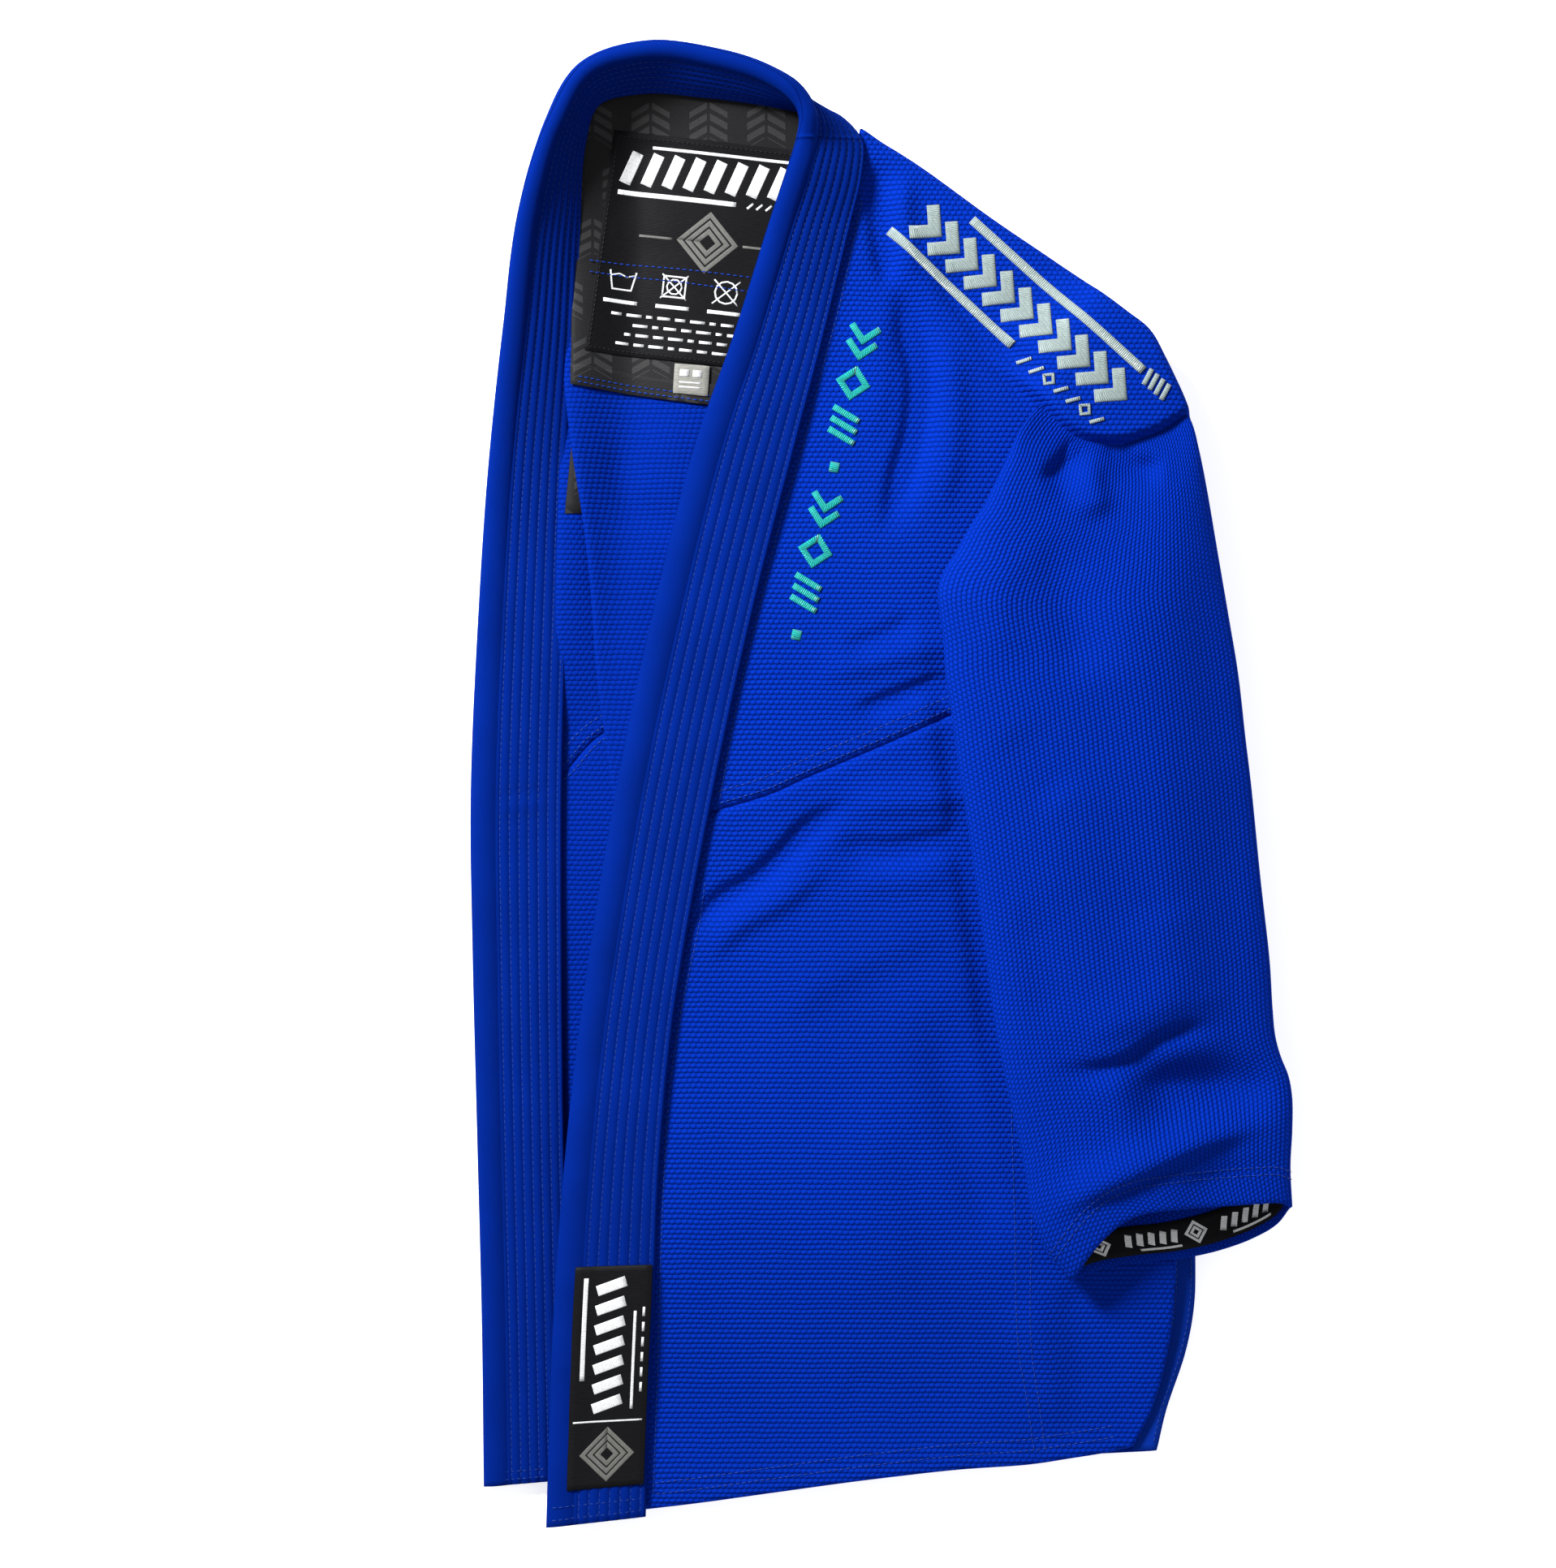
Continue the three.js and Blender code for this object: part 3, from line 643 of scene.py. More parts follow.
def ripstop(name, colour, printed):
    """Smooth lining with a fine square rib and a tone-on-tone print of stacked chevrons."""
    n = Nodes(name, colour, 0.62, specular=0.14, sheen=0.04, sheen_tint=(0.7, 0.75, 0.8))
    x, y = n.cloth_uv()
    ribs = [n.math("LESS_THAN", n.cells(axis, RIB_PITCH * MM), 0.09) for axis in (x, y)]
    rib = n.math("MAXIMUM", *ribs)
    row = n.math("DIVIDE", y, PRINT_PITCH * MM)
    place = n.plus(n.math("DIVIDE", x, PRINT_PITCH * MM), n.staggered(row))
    u = n.minus(n.math("FRACT", place), 0.5)
    v = n.minus(n.math("FRACT", row), 0.5)
    arm = n.math("ABSOLUTE", u)
    slope = n.plus(v, n.times(arm, 0.55))
    bars = n.math("LESS_THAN", n.math("FRACT", n.times(slope, 5.0)), 0.58)
    inside = n.math("LESS_THAN", arm, 0.33)
    tall = n.math("LESS_THAN", n.math("ABSOLUTE", slope), 0.3)
    gap = n.math("GREATER_THAN", arm, 0.025)
    mark = n.times(n.times(bars, inside), n.times(tall, gap))
    base = n.mix(n.noise(40, 3), darker(colour, 0.75), darker(colour, 1.3))
    n.colour(n.mix(mark, base, printed))
    n.bump(n.plus(n.times(rib, 0.6), n.noise(900, 2)), 0.15 * MM)
    return n.material


def satin(name, colour, roughness=0.5):
    """The ground of a woven label."""
    n = Nodes(name, colour, roughness, specular=0.08)
    _, y = n.cloth_uv()
    grain = n.noise(1200, 2, stretch=0.2)
    n.bump(n.plus(n.ridge(y, 0.8 * MM), grain), 0.12 * MM)
    n.colour(n.mix(grain, darker(colour, 0.6), darker(colour, 1.5)))
    return n.material


def thread(name, colour, pitch=1.0, roughness=0.36, specular=0.5, depth=0.45):
    """Satin stitching: fine parallel threads across each ribbon."""
    n = Nodes(name, colour, roughness, specular=specular, sheen=0.1)
    x, _ = n.cloth_uv()
    sway = n.times(n.noise(300, 2), 0.0008)
    lobe = n.minus(1.0, n.times(n.ridge(n.plus(x, sway), pitch * MM), 2.0))
    n.bump(lobe, depth * MM)
    # The colour follows each thread: its crest is a painted highlight and the groove between
    # threads, towards 0.3 of the colour, a painted shade; the noise adds tone that varies at
    # random.
    shade = n.plus(n.times(lobe, 0.6), n.times(n.noise(700, 2), 0.4))
    n.colour(n.mix(shade, darker(colour, 0.3), darker(colour, 1.35)))
    return n.material


def plain_thread(name, colour):
    """Sewing thread, too fine for a pattern: it varies along the seam."""
    n = Nodes(name, colour, 0.6, specular=0.25)
    place = n.tree.nodes.new("ShaderNodeTexCoord")
    noise = n.tree.nodes.new("ShaderNodeTexNoise")
    noise.inputs["Scale"].default_value = 260
    n.feed(noise.inputs["Vector"], place.outputs["Object"])
    n.colour(n.mix(noise.outputs[0], darker(colour, 0.6), darker(colour, 1.5)))
    return n.material


BLUE = (0.0010, 0.0215, 0.315)
LAPEL_BLUE = (0.0006, 0.0136, 0.182)
BLUE_SHEEN = (0.0, 0.15, 1.0)
RIB_PITCH = 5.2         # squares of the ripstop lining
PRINT_PITCH = 31.0      # marks printed on it

WEAVE = pearl_weave("pearl_weave", BLUE, 3.2, 2.7, 0.8, 0.27)
SLEEVE_WEAVE = pearl_weave("sleeve_pearl_weave", BLUE, 2.5, 2.6, 0.9, 0.28)
# Inside of the jacket, seen between the lapels: its weave is made 0.78 times as dark as BLUE, a
# painted shade for that recess.
INNER_WEAVE_PAINTED_SHADE = pearl_weave("inner_pearl_weave_painted_shade", darker(BLUE, 0.78), 3.2, 2.7, 0.6, 0.15)
LAPEL = twill("lapel_twill", LAPEL_BLUE)
TAPE = twill("twill_tape", (0.003, 0.028, 0.3), pitch=1.2, depth=0.4)
RIPSTOP = ripstop("ripstop_lining", (0.010, 0.010, 0.011), (0.030, 0.030, 0.031))
SATIN = satin("woven_label_satin", (0.005, 0.005, 0.006))
SIZE_SATIN = satin("size_label_satin", (0.22, 0.22, 0.2))
BLACK_TAPE = satin("black_cuff_tape", (0.003, 0.003, 0.004), 0.6)
WHITE_THREAD = thread("white_label_thread", (0.82, 0.83, 0.84), 0.6, 0.6, 0.2, 0.1)
GREY_THREAD = thread("grey_label_thread", (0.15, 0.15, 0.14), 0.6, 0.6, 0.2, 0.1)
SILVER = thread("silver_thread", (0.36, 0.45, 0.44), depth=0.35)
TEAL = thread("teal_thread", (0.006, 0.47, 0.43))
BLUE_STITCH = plain_thread("blue_stitches", (0.002, 0.03, 0.26))
LAPEL_STITCH = plain_thread("lapel_stitches", (0.002, 0.024, 0.19))
BLACK_STITCH = plain_thread("black_stitches", (0.01, 0.01, 0.012))


# ---- collar strip --------------------------------------------------------------------

LOW, HIGH = 5.0, 23.2
STATIONS = [
    ((-166, -371, 0), (-213.5, -375, 0)), ((-168, -290, 0), (-214.5, -290, 0)),
    ((-170, -190, 0), (-217, -190, 0)), ((-171, -90, 0), (-219.5, -90, 0)),
    ((-171, 0, 0), (-220.5, -5, 0)), ((-169, 85, 0.05), (-216.5, 90, 2)),
    ((-167, 165, 0.25), (-211, 172, 9)), ((-164, 235, 0.6), (-203, 246, 18)),
    ((-162.5, 298, 0.85), (-194.5, 308, 25)), ((-160, 345, 1), (-179, 356, 28)),
    ((-153, 365, 1), (-160, 386.5, 29)), ((-128, 371.5, 1), (-125, 398, 29)),
    ((-95, 369.5, 1), (-88, 393.5, 29)), ((-65, 366, 1), (-61, 384, 29)),
    ((-42, 362, 1), (-47, 373, 29)), ((-23, 357, 1), (-43, 360, 26)),
    ((-11.5, 346, 1), (-45.5, 347, 20)), ((-11, 328, 1), (-51, 330, 15)),
    ((-17, 300, 1), (-61, 300, 9.5)), ((-31, 240, 1), (-80, 240, 3.5)),
    ((-46.5, 180, 1), (-101, 180, 0)), ((-67, 100, 1), (-121, 100, -1.2)),
    ((-89, 0, 1), (-142, 0, -4.0)), ((-110.5, -120, 1), (-161, -121, -5.5)),
    ((-118.5, -200, 1), (-170, -201, -5.5)), ((-122, -280, 1), (-176, -282, -4.5)),
    ((-125, -345, 1), (-178.5, -348, -2.5)), ((-126.5, -391, 1), (-180, -397, -1.5)),
]


# ---- outlines ------------------------------------------------------------------------

UNDER_COLLAR = 6.0      # how far a panel runs under the collar's sewn edge
FOLD_STATION = 9.6      # where the back's fold meets the collar
NECK_STATION = 15.6     # where the shoulder meets it


def collar_seam(first, last, under=UNDER_COLLAR):
    """Plan line under the collar between two stations, and the height of the sewn edge."""
    t = np.linspace(first, last, 200)
    sewn = [(x, y, LOW + climb * (HIGH - LOW)) for (x, y, climb), _ in STATIONS]
    free = [(x, y, 0) for _, (x, y, _) in STATIONS]
    edge = centripetal(scaled(sewn), t)
    edge[:, 0], edge[:, 1] = seen(edge[:, 0], edge[:, 1], edge[:, 2])
    out = unit((centripetal(scaled(free), t) - edge)[:, :2])
    return edge[:, :2] + out * under, edge[:, 2]


RIGHT_SEAM = collar_seam(FOLD_STATION, 0)[0]
BACK_FOLD = np.vstack([
    collar_seam(FOLD_STATION, 7.4, 5.0)[0][:-1],
    curve([(-167.5, 214), (-163.5, 180), (-157.5, 140), (-153.5, 100), (-151, 60), (-146, 20),
           (-142, -10), (-136, -60), (-129, -180), (-126, -373)])])
NECK_AND_SLOPE = np.vstack([
    collar_seam(FOLD_STATION, NECK_STATION)[0][:-1],
    curve([(-10, 346), (60, 294), (128, 245), (148, 212)])])
SEWN_LINE, SEWN_HEIGHT = collar_seam(2, 15.8, 0)
BACK_SIDE = curve([(148, 212), (155, 100), (160, 0), (165, -150), (168.5, -254), (168, -280),
                   (163.5, -305), (153, -337), (148, -358.5)])
BACK_HEM = curve([(-126, -373), (0, -366), (148, -358.5)])
RIGHT_SIDE_UPPER = curve([(148, 212), (153, 84)])
RIGHT_SIDE_LOWER = curve([(153, 84), (156, 0), (160, -150), (161, -262), (156, -305),
                          (142, -350)])
RIGHT_SKIRT_SEAM = curve([(-177, 3), (-170, 8), (-150, 28), (-60, 55), (153, 84)])
RIGHT_HEM = curve([(-173, -371), (-60, -368), (142, -350)])

SHOULDER = curve([(-11, 351), (-6, 348.4), (0, 345), (20, 332.5), (60, 303.5), (100, 276),
                  (130, 253.5), (143, 243), (151.5, 228), (159.8, 210.5), (166, 193)])
FRONT_SIDE_UPPER = curve([(166, 193), (163, 172), (154, 140), (152, 84)])
FRONT_SIDE_LOWER = curve([(152, 84), (152, 0), (154, -150), (157, -265), (153, -305),
                          (145, -335), (135, -355.5)])
SEAM_UPPER_POINTS = [(-11, 351), (-13, 341), (-14, 320), (-17, 300), (-25, 260), (-36, 220),
                     (-46, 180), (-58, 140), (-67.5, 100), (-79.5, 50), (-91, -14)]
SEAM_LOWER_POINTS = [(-91, -14), (-96, -40), (-101, -75), (-110.5, -120), (-117, -165),
                     (-121, -240), (-122.5, -280), (-125, -360), (-126, -389)]
UNDER_LAPEL = np.array([-3.0, 0.0])    # the front runs this far under its lapel
SEAM_UPPER = curve(SEAM_UPPER_POINTS) + UNDER_LAPEL * smooth(np.linspace(0, 6, 200))[:, None]
SEAM_LOWER = curve(SEAM_LOWER_POINTS) + UNDER_LAPEL
SKIRT_SEAM = curve([(-94, -15.2), (-60, -5), (-40, 4), (0, 21), (36, 37), (80, 57), (152, 84)])
FRONT_HEM = curve([(-129, -389.4), (-100, -386), (-60, -380.5), (-20, -375), (0, -372.5),
                   (40, -368), (80, -365), (100, -362), (120, -358.8), (135, -355.5)])
SLEEVE_CREASE = curve([(48, 236), (66, 217), (84, 201), (95, 189), (108, 182), (126, 180),
                       (146, 185), (158, 191), (170, 198)])

# ---- heights of the laid layers ------------------------------------------------------


def ground(x, y):
    """Underside of the lowest cloth: the right sleeve lifts it, and it comes down to the
    floor towards the hem and the edges."""
    down = smooth((y + 350) / 130)
    left = smooth((x + 172) / 75)
    right = smooth((190 - x) / 45)
    return 1.2 + 7.0 * down * left * right


def drawn_up(x, y, z, below):
    """Raises cloth near the collar to its sewn edge, below millimetres under the middle."""
    gap, share = near(x, y, SEWN_LINE[::4])
    height = np.interp(share * (len(SEWN_LINE) - 1), np.arange(len(SEWN_LINE)), SEWN_HEIGHT)
    weight = smooth(1 - gap / 34)
    return z + weight * np.maximum(height - below - z, 0)


def right_front_z(x, y):
    z = ground(x, y) + RIGHT_FRONT_TOP + waves(x, y, 3, 120, 0.25)
    return drawn_up(x, y, z, 8.5)


def back_low_z(x, y):
    return drawn_up(x, y, ground(x, y) + BACK_LOW_TOP, 5.5)


def back_z(x, y):
    folds = [
        ([(-138, 195), (-143, 175), (-138, 155), (-120, 142), (-106, 130)], -2.2, 9),
        ([(-120, 200), (-112, 170), (-96, 150)], 1.4, 14),
        ([(-128, 120), (-120, 80), (-118, 40)], -0.8, 12),
    ]
    z = ground(x, y) + BACK_HIGH_TOP + creases(x, y, folds) + waves(x, y, 5, 150, 0.3)
    return drawn_up(x, y, z, 2.0)


def above_crease(x, y):
    """Distance from the crease where the sleeve turns down, positive on the shoulder's side."""
    gap, share = near(x, y, SLEEVE_CREASE)
    i = np.clip((share * (len(SLEEVE_CREASE) - 1)).astype(int), 0, len(SLEEVE_CREASE) - 2)
    a, b = SLEEVE_CREASE[i], SLEEVE_CREASE[i + 1]
    side = (b[..., 0] - a[..., 0]) * (y - a[..., 1]) - (b[..., 1] - a[..., 1]) * (x - a[..., 0])
    return gap * np.sign(side), share


FRONT_FOLDS = [
    ([(-2, 338), (-3, 315), (0, 290), (4, 262)], -7.0, 7),
    ([(12, 330), (12, 300), (16, 268)], 3.4, 8),
    ([(10, 276), (13, 250), (19, 222), (17, 194), (9, 165), (1, 128)], -8.5, 8),
    ([(32, 250), (38, 212), (36, 172), (26, 138)], 3.2, 11),
    ([(-2, 262), (0, 222), (-6, 180)], 1.8, 10),
    ([(24, 286), (44, 260), (62, 237), (78, 217), (92, 200)], -7.5, 9),
    ([(24, 112), (30, 60), (38, 0), (48, -65), (58, -130), (74, -215), (94, -268)], -4.5, 9),
    ([(-22, 290), (-30, 250), (-42, 204)], 1.2, 10),
    ([(46, 58), (24, 54), (2, 46), (-18, 38)], -4.8, 5.5),
    ([(60, 76), (25, 73), (-15, 63), (-40, 58)], 2.6, 11),
    ([(20, 92), (0, 80), (-24, 72)], -2.4, 8),
    ([(58, -25), (26, -30), (0, -34), (-28, -30)], -6.5, 7),
    ([(62, -4), (20, -10), (-24, -12)], 2.8, 9),
    ([(40, -48), (10, -52), (-20, -52)], 1.8, 10),
    ([(-14, -8), (-38, -20), (-55, -37), (-70, -50), (-88, -61), (-106, -80)], -7.0, 6.5),
    ([(-26, -38), (-50, -60), (-78, -77), (-98, -98)], 3.2, 9),
    ([(44, -72), (10, -84), (-30, -104), (-62, -130)], 2.0, 18),
    ([(26, -110), (40, -165), (54, -215), (60, -256)], -4.6, 18),
    ([(-10, -160), (0, -230), (6, -290)], 2.0, 24),
    ([(-24, -322), (10, -334), (46, -346)], -3.0, 14),
    ([(102, -262), (112, -296), (118, -330)], -3.8, 14),
    ([(76, -270), (88, -312), (96, -350)], 2.2, 12),
]


def left_front_base(x, y):
    return ground(x, y) + LEFT_FRONT_TOP + LEFT_FRONT_LOFT * smooth((y + 360) / 140)


def left_front_z(x, y):
    """Upper face of the left front, with its folds and the bulge over the sleeve head."""
    distance, share = above_crease(x, y)
    bulge = smooth((distance + 1) / 8) * smooth((share + 0.06) / 0.4) * 12
    bulge *= smooth((330 - y) / 70)
    free = (left_front_base(x, y) + creases(x, y, FRONT_FOLDS)
            + waves(x, y, 11, 130, 0.5) + bulge)
    held = ground(x, y) + LABEL_TOP + CLOTH + 0.7
    return (free + held + np.sqrt((free - held) ** 2 + 0.8)) / 2


def station_points():
    sewn, free = [], []
    for (sx, sy, climb), (fx, fy, rise) in STATIONS:
        z = LOW + climb * (HIGH - LOW)
        (x, y), = scaled([(sx, sy)])
        if len(sewn) > JOIN_STATION:
            z = float(left_front_base(np.array(x), np.array(y))) + 2.5
        (u, v), = scaled([(fx, fy)])
        sewn.append((*seen(x, y, z), z))
        free.append((*seen(u, v, z + rise), z + rise))
    return np.array(sewn), np.array(free)


SEWN, FREE = station_points()


def strip_frames(t):
    """Sewn edge, direction across, outward normal and width of the strip at stations t."""
    sewn, free = centripetal(SEWN, t), centripetal(FREE, t)
    sewn[:, 2] = np.maximum(sewn[:, 2], LOW)
    free[:, 2] = np.maximum(free[:, 2], LOW)
    e = 1e-3
    ahead, behind = np.minimum(t + e, len(SEWN) - 1), np.maximum(t - e, 0)
    along = unit(centripetal(SEWN, ahead) - centripetal(SEWN, behind)
                 + centripetal(FREE, ahead) - centripetal(FREE, behind))
    across = unit(free - sewn)
    normal = unit(np.cross(along, across))
    width = np.linalg.norm(free - sewn, axis=1)
    return sewn, across, normal, width, along


def half_thickness(a, s):
    """Half the strip's thickness a millimetres in from the sewn edge and s along it, for a strip
    of the standard width: quilted channels, and a round free edge."""
    body = 2.3 + 0.9 * smooth(a / 20)
    rows = np.array(ROW_PLACES)
    gap = np.abs(a[..., None] - rows).min(-1)
    pinch = np.exp(-(gap / 0.9) ** 2)
    pull = 0.12 * np.cos(s * 2 * math.pi / 3.3)
    channel = 0.85 * (1 - pinch * (1 + pull))
    edge = np.sqrt(np.clip(1 - (1 - np.clip(a / 2.0, 0, 1)) ** 2, 0, 1))
    quilt = (body - 0.35 + channel) * edge
    middle = STRIP_WIDTH - ROLL_RADIUS
    swell = 1 + 0.03 * np.sin(s / 19.0) + 0.025 * np.sin(s / 7.3 + 1)
    roll = ROLL_RISE * swell * np.sqrt(np.clip(1 - ((a - middle) / ROLL_RADIUS) ** 2, 0, 1))
    return np.maximum(np.where(a > QUILTED_WIDTH, 0, quilt), roll)


ACROSS = np.unique(np.concatenate([
    np.array([0, 0.25, 0.8, 1.6]),
    np.concatenate([np.array(ROW_PLACES) + k for k in (-1.6, -0.8, 0, 0.8, 1.6, 2.7)]),
    np.array([38.2, 39, 40.5, 42.5, 44.6, 46.7, 48.6, 50.2, 51.5, 52.4, 52.85]),
]))

STRIP_T = np.linspace(0, len(STATIONS) - 1, 12000)
STRIP_S = distance_along((centripetal(SEWN, STRIP_T) + centripetal(FREE, STRIP_T)) / 2)


def along_strip(t0, t1, step):
    """Stations from t0 to t1 about step millimetres apart, and their distances down the strip."""
    start, end = np.interp([t0, t1], STRIP_T, STRIP_S)
    distance = np.linspace(start, end, int((end - start) / step))
    return np.interp(distance, STRIP_S, STRIP_T), distance


def strip_point(frames, a, h):
    """Points a across and h out of a strip of any width. a is for the standard width."""
    sewn, across, normal, width = frames[:4]
    scale = (width / STRIP_WIDTH)[:, None]
    a = np.broadcast_to(a, (len(sewn),) + np.shape(a)[-1:])
    h = np.broadcast_to(h, a.shape)
    return (sewn[:, None] + across[:, None] * (a * scale)[..., None]
            + normal[:, None] * h[..., None])


def strip_piece(name, t0, t1, round_start, round_end):
    t, s = along_strip(t0, t1, STRIP_STEP)
    frames = strip_frames(t)
    a = np.concatenate([ACROSS, [STRIP_WIDTH], ACROSS[::-1]])
    sign = np.concatenate([np.ones(len(ACROSS)), [0], -np.ones(len(ACROSS))])
    grid_a, grid_s = np.meshgrid(a, s)
    h = half_thickness(grid_a, grid_s) * sign
    if t0 < 5:
        pucker = np.exp(-((frames[0][:, 1] + 6 * SCALE_Y) / 14) ** 2)
        h += (pucker[:, None] * np.sin(grid_s / 2.6) * 0.45
              * smooth((grid_a - 4) / 12) * smooth((40 - grid_a) / 10) * np.abs(sign))
    points = strip_point(frames, a, h)
    for index, rounded, way in ((0, round_start, -1), (-1, round_end, 1)):
        if rounded:
            tip_ring = strip_point([f[[index]] for f in frames[:4]], a, h[[index]] * 0.45)
            tip_ring = tip_ring + frames[4][index] * way * 1.2
            points = np.vstack([tip_ring, points] if index == 0 else [points, tip_ring])
    rows, cols = points.shape[:2]
    s = np.interp(np.linspace(0, 1, rows), np.linspace(0, 1, len(s)), s)
    uv = np.stack([np.broadcast_to(s[:, None], (rows, cols)),
                   np.broadcast_to(np.where(sign >= 0, a, 120 - a), (rows, cols))], -1)
    faces = [quads(rows, cols, 0, wrap=True, flip=True)]
    k = np.arange(len(ACROSS))[:-1]
    far = cols - 1 - k
    end = (rows - 1) * cols
    tip = len(ACROSS)
    faces.append(np.stack([k, k + 1, far - 1, far], -1))
    faces.append(np.stack([end + far, end + far - 1, end + k + 1, end + k], -1))
    faces = [f for group in faces for f in group.tolist()]
    faces.append([tip - 1, tip, tip + 1])
    faces.append([end + tip + 1, end + tip, end + tip - 1])
    obj = make_object(name, points.reshape(-1, 3), faces, uv.reshape(-1, 2), LAPEL)
    for polygon in obj.data.polygons[(rows - 1) * cols:]:
        polygon.use_smooth = False
    return obj


def quilting(name, first, last, hems, hem_count, face):
    """Rows of quilting on both faces between two stations, and hem rows across one face."""
    stitches = Stitching()
    t, s = along_strip(first, last, STRIP_STEP / 2)
    frames = strip_frames(t)
    for place in ROW_PLACES:
        h = half_thickness(np.full((len(t), 1), place), s[:, None])
        for side in (1, -1):
            line = strip_point(frames, np.array([place]), (h + 0.05) * side)[:, 0]
            stitches.run(line, frames[2] * side)
    for hem in hems:
        frames = strip_frames(np.array([hem]))
        a = np.linspace(2, hem_count, hem_count)
        line = strip_point(frames, a, face * half_thickness(a[None], np.zeros((1, len(a)))))[0]
        stitches.run(line, np.repeat(face * frames[2], len(a), axis=0), length=2.2)
    return stitches.finish(name, LAPEL_STITCH)


LAST_STATION = len(STATIONS) - 1
LAPEL_BEND = dict(start=(0, 0.346, 0), end=(0, 0.285, 0))
collar = strip_piece("right_lapel_and_neck_collar", 0, JOIN_STATION, True, False)
left_lapel = strip_piece("left_lapel", JOIN_STATION, LAST_STATION, False, True)
carried(collar, "body", ("right_lapel_cover", "right_lapel_core", "neck_collar_cover",
                                  "neck_collar_core"))
carried(left_lapel, "left_front_flap", ("left_lapel_cover", "left_lapel_core"),
        bend=LAPEL_BEND)

carried(quilting("collar_quilting", 0.03, JOIN_STATION, (0.025, 0.075), 40, 1), "body")
carried(quilting("left_lapel_quilting", JOIN_STATION, LAST_STATION - 0.05,
                 (LAST_STATION - 0.06, LAST_STATION - 0.2), 50, -1),
        "left_front_flap", bend=LAPEL_BEND)


# ---- panels --------------------------------------------------------------------------

def laid(plan, height):
    return np.dstack([plan, height(plan[..., 0], plan[..., 1])])


def turned_down(top, edge, radius, reach, steps=7):
    """Turns the first row of a grid over in a round fold and on down by reach, less so at
    the row's two ends."""
    along = np.linspace(0, 1, top.shape[1])
    share = 0.1 + 0.9 * smooth(along / 0.06) * smooth((1 - along) / 0.12)
    for k in range(top.shape[0]):
        gap = np.linalg.norm(top[k, :, :2] - edge, axis=1)
        inside = np.clip(gap / radius, 0, 1)
        top[k, :, 2] -= radius * share * (1 - np.sqrt(1 - (1 - inside) ** 2))
    first = top[0]
    outward = unit(top[0, :, :2] - top[1, :, :2])
    extra = [np.column_stack([first[:, :2] + outward * 0.3 * math.sin(f * math.pi),
                              first[:, 2] - reach * share * f])
             for f in np.linspace(1, 1 / steps, steps)]
    return np.vstack([np.array(extra), top])


def panel(edges, rows, cols, height, seam, depth, width):
    """A laid panel between four edges, pulled down beside a seam."""
    grid = laid(patch(*edges, rows, cols), height)
    gap, _ = near(grid[..., 0], grid[..., 1], seam[::8])
    grid[..., 2] -= depth * np.exp(-(gap / width) ** 2)
    return grid


# Left front, and a band about the hinge line given as its bend.
hinge = scaled([HINGE_TOP, HINGE_BOTTOM])
hinge_middle = hinge.mean(0)
hinge_along = unit(hinge[1] - hinge[0])
hinge_across = np.array([-hinge_along[1], hinge_along[0]])
FRONT_BEND = dict(
    start=(*((hinge_middle + hinge_across * HINGE_BAND) * MM), 0),
    end=(*((hinge_middle - hinge_across * HINGE_BAND) * MM), 0))

upper_grid = panel((SHOULDER, FRONT_SIDE_UPPER, SKIRT_SEAM, SEAM_UPPER), 150, 110, left_front_z,
                   SKIRT_SEAM, 1.6, 1.8)
upper_grid = turned_down(upper_grid, resampled(SHOULDER, 110), 7, 8)
skirt_grid = panel((SKIRT_SEAM, FRONT_SIDE_LOWER, FRONT_HEM, SEAM_LOWER), 140, 110, left_front_z,
                   SKIRT_SEAM, 1.9, 1.8)
for name, grid, on in (("left_front_upper", upper_grid, ["back", "yoke_lining"]),
                       ("left_front_skirt", skirt_grid, ["back"])):
    panel_sheet(cloth(name, grid, CLOTH, WEAVE), "left_front_flap",
                (name + "_flap", name + "_side"),
                bend=FRONT_BEND)

# Back, folded in two with both halves in one sheet.
fold_radius = (BACK_HIGH_TOP - BACK_LOW_TOP + CLOTH) / 2
half = patch(NECK_AND_SLOPE, BACK_SIDE, BACK_HEM, BACK_FOLD + [fold_radius, 0], 150, 80)
x, y = half[..., 0], half[..., 1]
upper = np.dstack([half, back_z(x, y)])
lower = np.dstack([half, back_low_z(x, y) - CLOTH])
angles = np.linspace(-math.pi / 2, math.pi / 2, 9)[1:-1]
middle = (upper[:, 0] + lower[:, 0]) / 2
radius = (upper[:, 0, 2] - lower[:, 0, 2]) / 2
arc = np.stack([np.column_stack([middle[:, 0] - radius * math.cos(f), middle[:, 1],
                                 middle[:, 2] + radius * math.sin(f)]) for f in angles], 1)
folded = np.concatenate([lower[:, ::-1], arc, upper], axis=1)
widths = np.linalg.norm(np.diff(folded, axis=1), axis=2)
across = np.concatenate([np.zeros((150, 1)), np.cumsum(widths, axis=1)], axis=1)
back = cloth("back", folded, CLOTH, INNER_WEAVE_PAINTED_SHADE, np.dstack([across, folded[..., 1]]))
panel_sheet(back, "body", ("back_panel",))

